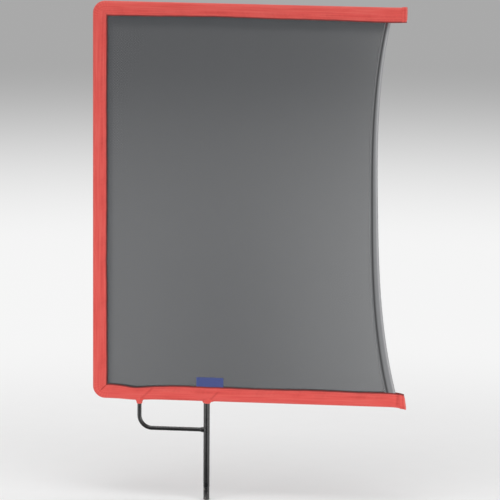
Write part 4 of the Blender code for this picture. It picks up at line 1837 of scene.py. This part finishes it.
@dataclass
class InnerFittings:
    """The cord in the hem's fold and its crimped ferrules, which the cloth hides."""

    cord: BraidedCord = field(default_factory=BraidedCord)
    zinc: DrawnZinc = field(default_factory=DrawnZinc)

    def build(self) -> None:
        """Dresses the solids that stay."""
        repaint("edge_cord", self.cord.material())
        zinc = self.zinc.material()
        for name in ("ferrule_top", "ferrule_bottom"):
            repaint(name, zinc)


# Studio


def seen_ray(tree: bpy.types.NodeTree) -> bpy.types.Node:
    """1 for a ray that shows the backdrop, and 0 for one that only brings light."""
    ray = node(tree, "LightPath")
    straight = node(
        tree,
        "Math",
        {0: ray.outputs["Is Camera Ray"], 1: ray.outputs["Is Glossy Ray"]},
        operation="MAXIMUM",
    )
    return node(tree, "Math", {0: straight, 1: ray.outputs["Is Transmission Ray"]}, operation="MAXIMUM")


@dataclass(frozen=True)
class PaleFloor:
    """Matt painted studio floor, pale, that fades to a light grey far away, a painted shade."""

    name: str = "matt_studio_floor"
    colour: str = "#f2f2f2"
    grain: float = 40 * MM
    near_shade: float = 0.92
    far_shade: float = 0.40

    def material(self) -> bpy.types.Material:
        """A pale floor that keeps the shadow near the object.

        Where it is seen, it goes over from 0.35 to 1.2 metres away, all but 3%, to a
        plain shade that no lamp changes. That shade falls smoothly from near_shade to
        far_shade between 2 and 4.2 metres: painted shade, as if the light fell off far away.
        """
        made = blank(self.name)
        tree = made.node_tree
        body = node(tree, "TexCoord").outputs["Object"]
        clouds = node(tree, "TexNoise", {"Vector": body, "Scale": 1 / self.grain})
        value = node(tree, "MapRange", {0: clouds, 3: 0.99, 4: 1.01})
        tint = node(tree, "HueSaturation", {"Color": linear(self.colour), "Value": value})
        matt = node(tree, "BsdfDiffuse", {"Color": tint})
        far = node(tree, "VectorMath", {0: body}, operation="LENGTH")
        shade = node(
            tree,
            "MapRange",
            {0: far, 1: 2.0, 2: 4.2, 3: self.near_shade, 4: self.far_shade},
            interpolation_type="SMOOTHSTEP",
        )
        plain = node(tree, "Emission", {"Strength": shade})
        fade = node(
            tree,
            "MapRange",
            {0: far, 1: 0.35, 2: 1.2, 4: 0.97},
            interpolation_type="SMOOTHSTEP",
        )
        shown = node(tree, "Math", {0: fade, 1: seen_ray(tree)}, operation="MULTIPLY")
        mixed = node(tree, "MixShader", {0: shown, 1: matt, 2: plain})
        node(tree, "OutputMaterial", {0: mixed})
        return made


@dataclass
class Studio:
    """The pale floor, the pale room, four soft lamps and the camera."""

    floor: PaleFloor = field(default_factory=PaleFloor)
    aim: tuple[float, float, float] = (0.0648, 0.0, 0.3889)
    azimuth: float = 7.0
    elevation: float = 11.203
    roll: float = -0.323
    distance: float = 8.0
    focal_pixels: float = 5311.6
    image: float = 500.0
    room_light: float = 0.36
    floor_half: float = 14.0

    def room(self) -> None:
        """A pale room: plain light for the object, and the floor's far shade where seen."""
        world = bpy.data.worlds.new("pale_room")
        bpy.context.scene.world = world
        world.use_nodes = True
        tree = world.node_tree
        tree.nodes.clear()
        strength = node(
            tree,
            "MapRange",
            {0: seen_ray(tree), 3: self.room_light, 4: self.floor.far_shade},
        )
        background = node(tree, "Background", {"Color": (1, 1, 1, 1), "Strength": strength})
        node(tree, "OutputWorld", {0: background})

    def lamp(
        self,
        name: str,
        place: tuple[float, float, float],
        target: tuple[float, float, float],
        size: float,
        power: float,
    ) -> None:
        """A square softbox that looks at a target.

        Args:
            name: the lamp's name.
            place: its centre.
            target: where it looks.
            size: its side.
            power: in watts.
        """
        data = bpy.data.lights.new(name, "AREA")
        data.size, data.energy = size, power
        made = bpy.data.objects.new(name, data)
        made.location = place
        way = Vector(target) - Vector(place)
        made.rotation_euler = way.to_track_quat("-Z", "Y").to_euler()
        made.visible_camera = False
        bpy.context.scene.collection.objects.link(made)

    def camera(self) -> None:
        """A long lens at the photograph's viewing angle, from above and the open side."""
        turn, rise = math.radians(self.azimuth), math.radians(self.elevation)
        back = np.array(
            [math.sin(turn) * math.cos(rise), -math.cos(turn) * math.cos(rise), math.sin(rise)]
        )
        right = np.array([math.cos(turn), math.sin(turn), 0.0])
        up = np.cross(back, right)
        roll = math.radians(self.roll)
        side = math.cos(roll) * right - math.sin(roll) * up
        top = math.sin(roll) * right + math.cos(roll) * up
        data = bpy.data.cameras.new("camera")
        data.sensor_width = 36.0
        data.lens = self.focal_pixels * data.sensor_width / self.image
        made = bpy.data.objects.new("camera", data)
        turned = np.eye(4)
        turned[:3, :3] = np.column_stack([side, top, back])
        turned[:3, 3] = np.array(self.aim) + back * self.distance
        made.matrix_world = Matrix(turned.tolist())
        bpy.context.scene.collection.objects.link(made)
        bpy.context.scene.camera = made

    def reflected_darkness(self) -> None:
        """A painted reflection: a dark sheet before the object, seen only in reflections, mostly in the
        steel.
        """
        side = np.array([[-0.20, 0.14], [-0.28, 0.30]])
        away = np.array([[-0.03, -0.03], [-1.50, -1.50]])
        points = np.stack([side, away, 0 * side + 2 * MM], -1)
        cloth = surface("reflection_only_dark_sheet", points, looks=Faces.OTHER_WAY)
        finish = blank("black_reflection_only")
        matt = node(finish.node_tree, "BsdfDiffuse", {"Color": linear("#1c1c1c")})
        node(finish.node_tree, "OutputMaterial", {0: matt})
        cloth.data.materials.append(finish)
        # Seen only in reflections: a painted reflection of darkness before the object
        cloth.visible_camera = cloth.visible_diffuse = cloth.visible_shadow = False
        cloth.visible_transmission = False

    def build(self) -> None:
        """Sets up the floor, the light and the camera."""
        side = np.linspace(-self.floor_half, self.floor_half, 8)
        x, y = np.meshgrid(side, side)
        floor = surface("floor", np.stack([x, y, 0 * x], -1))
        floor.data.materials.append(self.floor.material())
        self.room()
        self.reflected_darkness()
        self.lamp("right", (1.05, -0.75, 0.22), (0.05, 0.0, 0.2), size=0.7, power=7.4)
        self.lamp("left", (-0.95, -0.85, 0.22), (0.0, 0.0, 0.2), size=0.7, power=6.4)
        self.lamp("overhead", (0.0, -0.3, 2.6), (0.0, 0.0, 0.0), size=1.6, power=30.0)
        self.lamp("back_fill", (-0.6, 1.8, 1.2), (0.05, 0.0, 0.4), size=1.2, power=10.0)
        self.camera()
        bpy.context.scene.view_settings.view_transform = "Standard"
        LOG.info("studio: floor, room, lamps and camera")


def main() -> None:
    """Builds the studio and every sub-assembly in order."""
    Studio().build()
    SteelFrame().build()
    Binding().build()
    side = OpenSide()
    NetPanel(side).build()
    side.build_hem()
    side.build_tack()
    InnerFittings().build()
    Label().build()


if __name__ == "__main__":
    main()
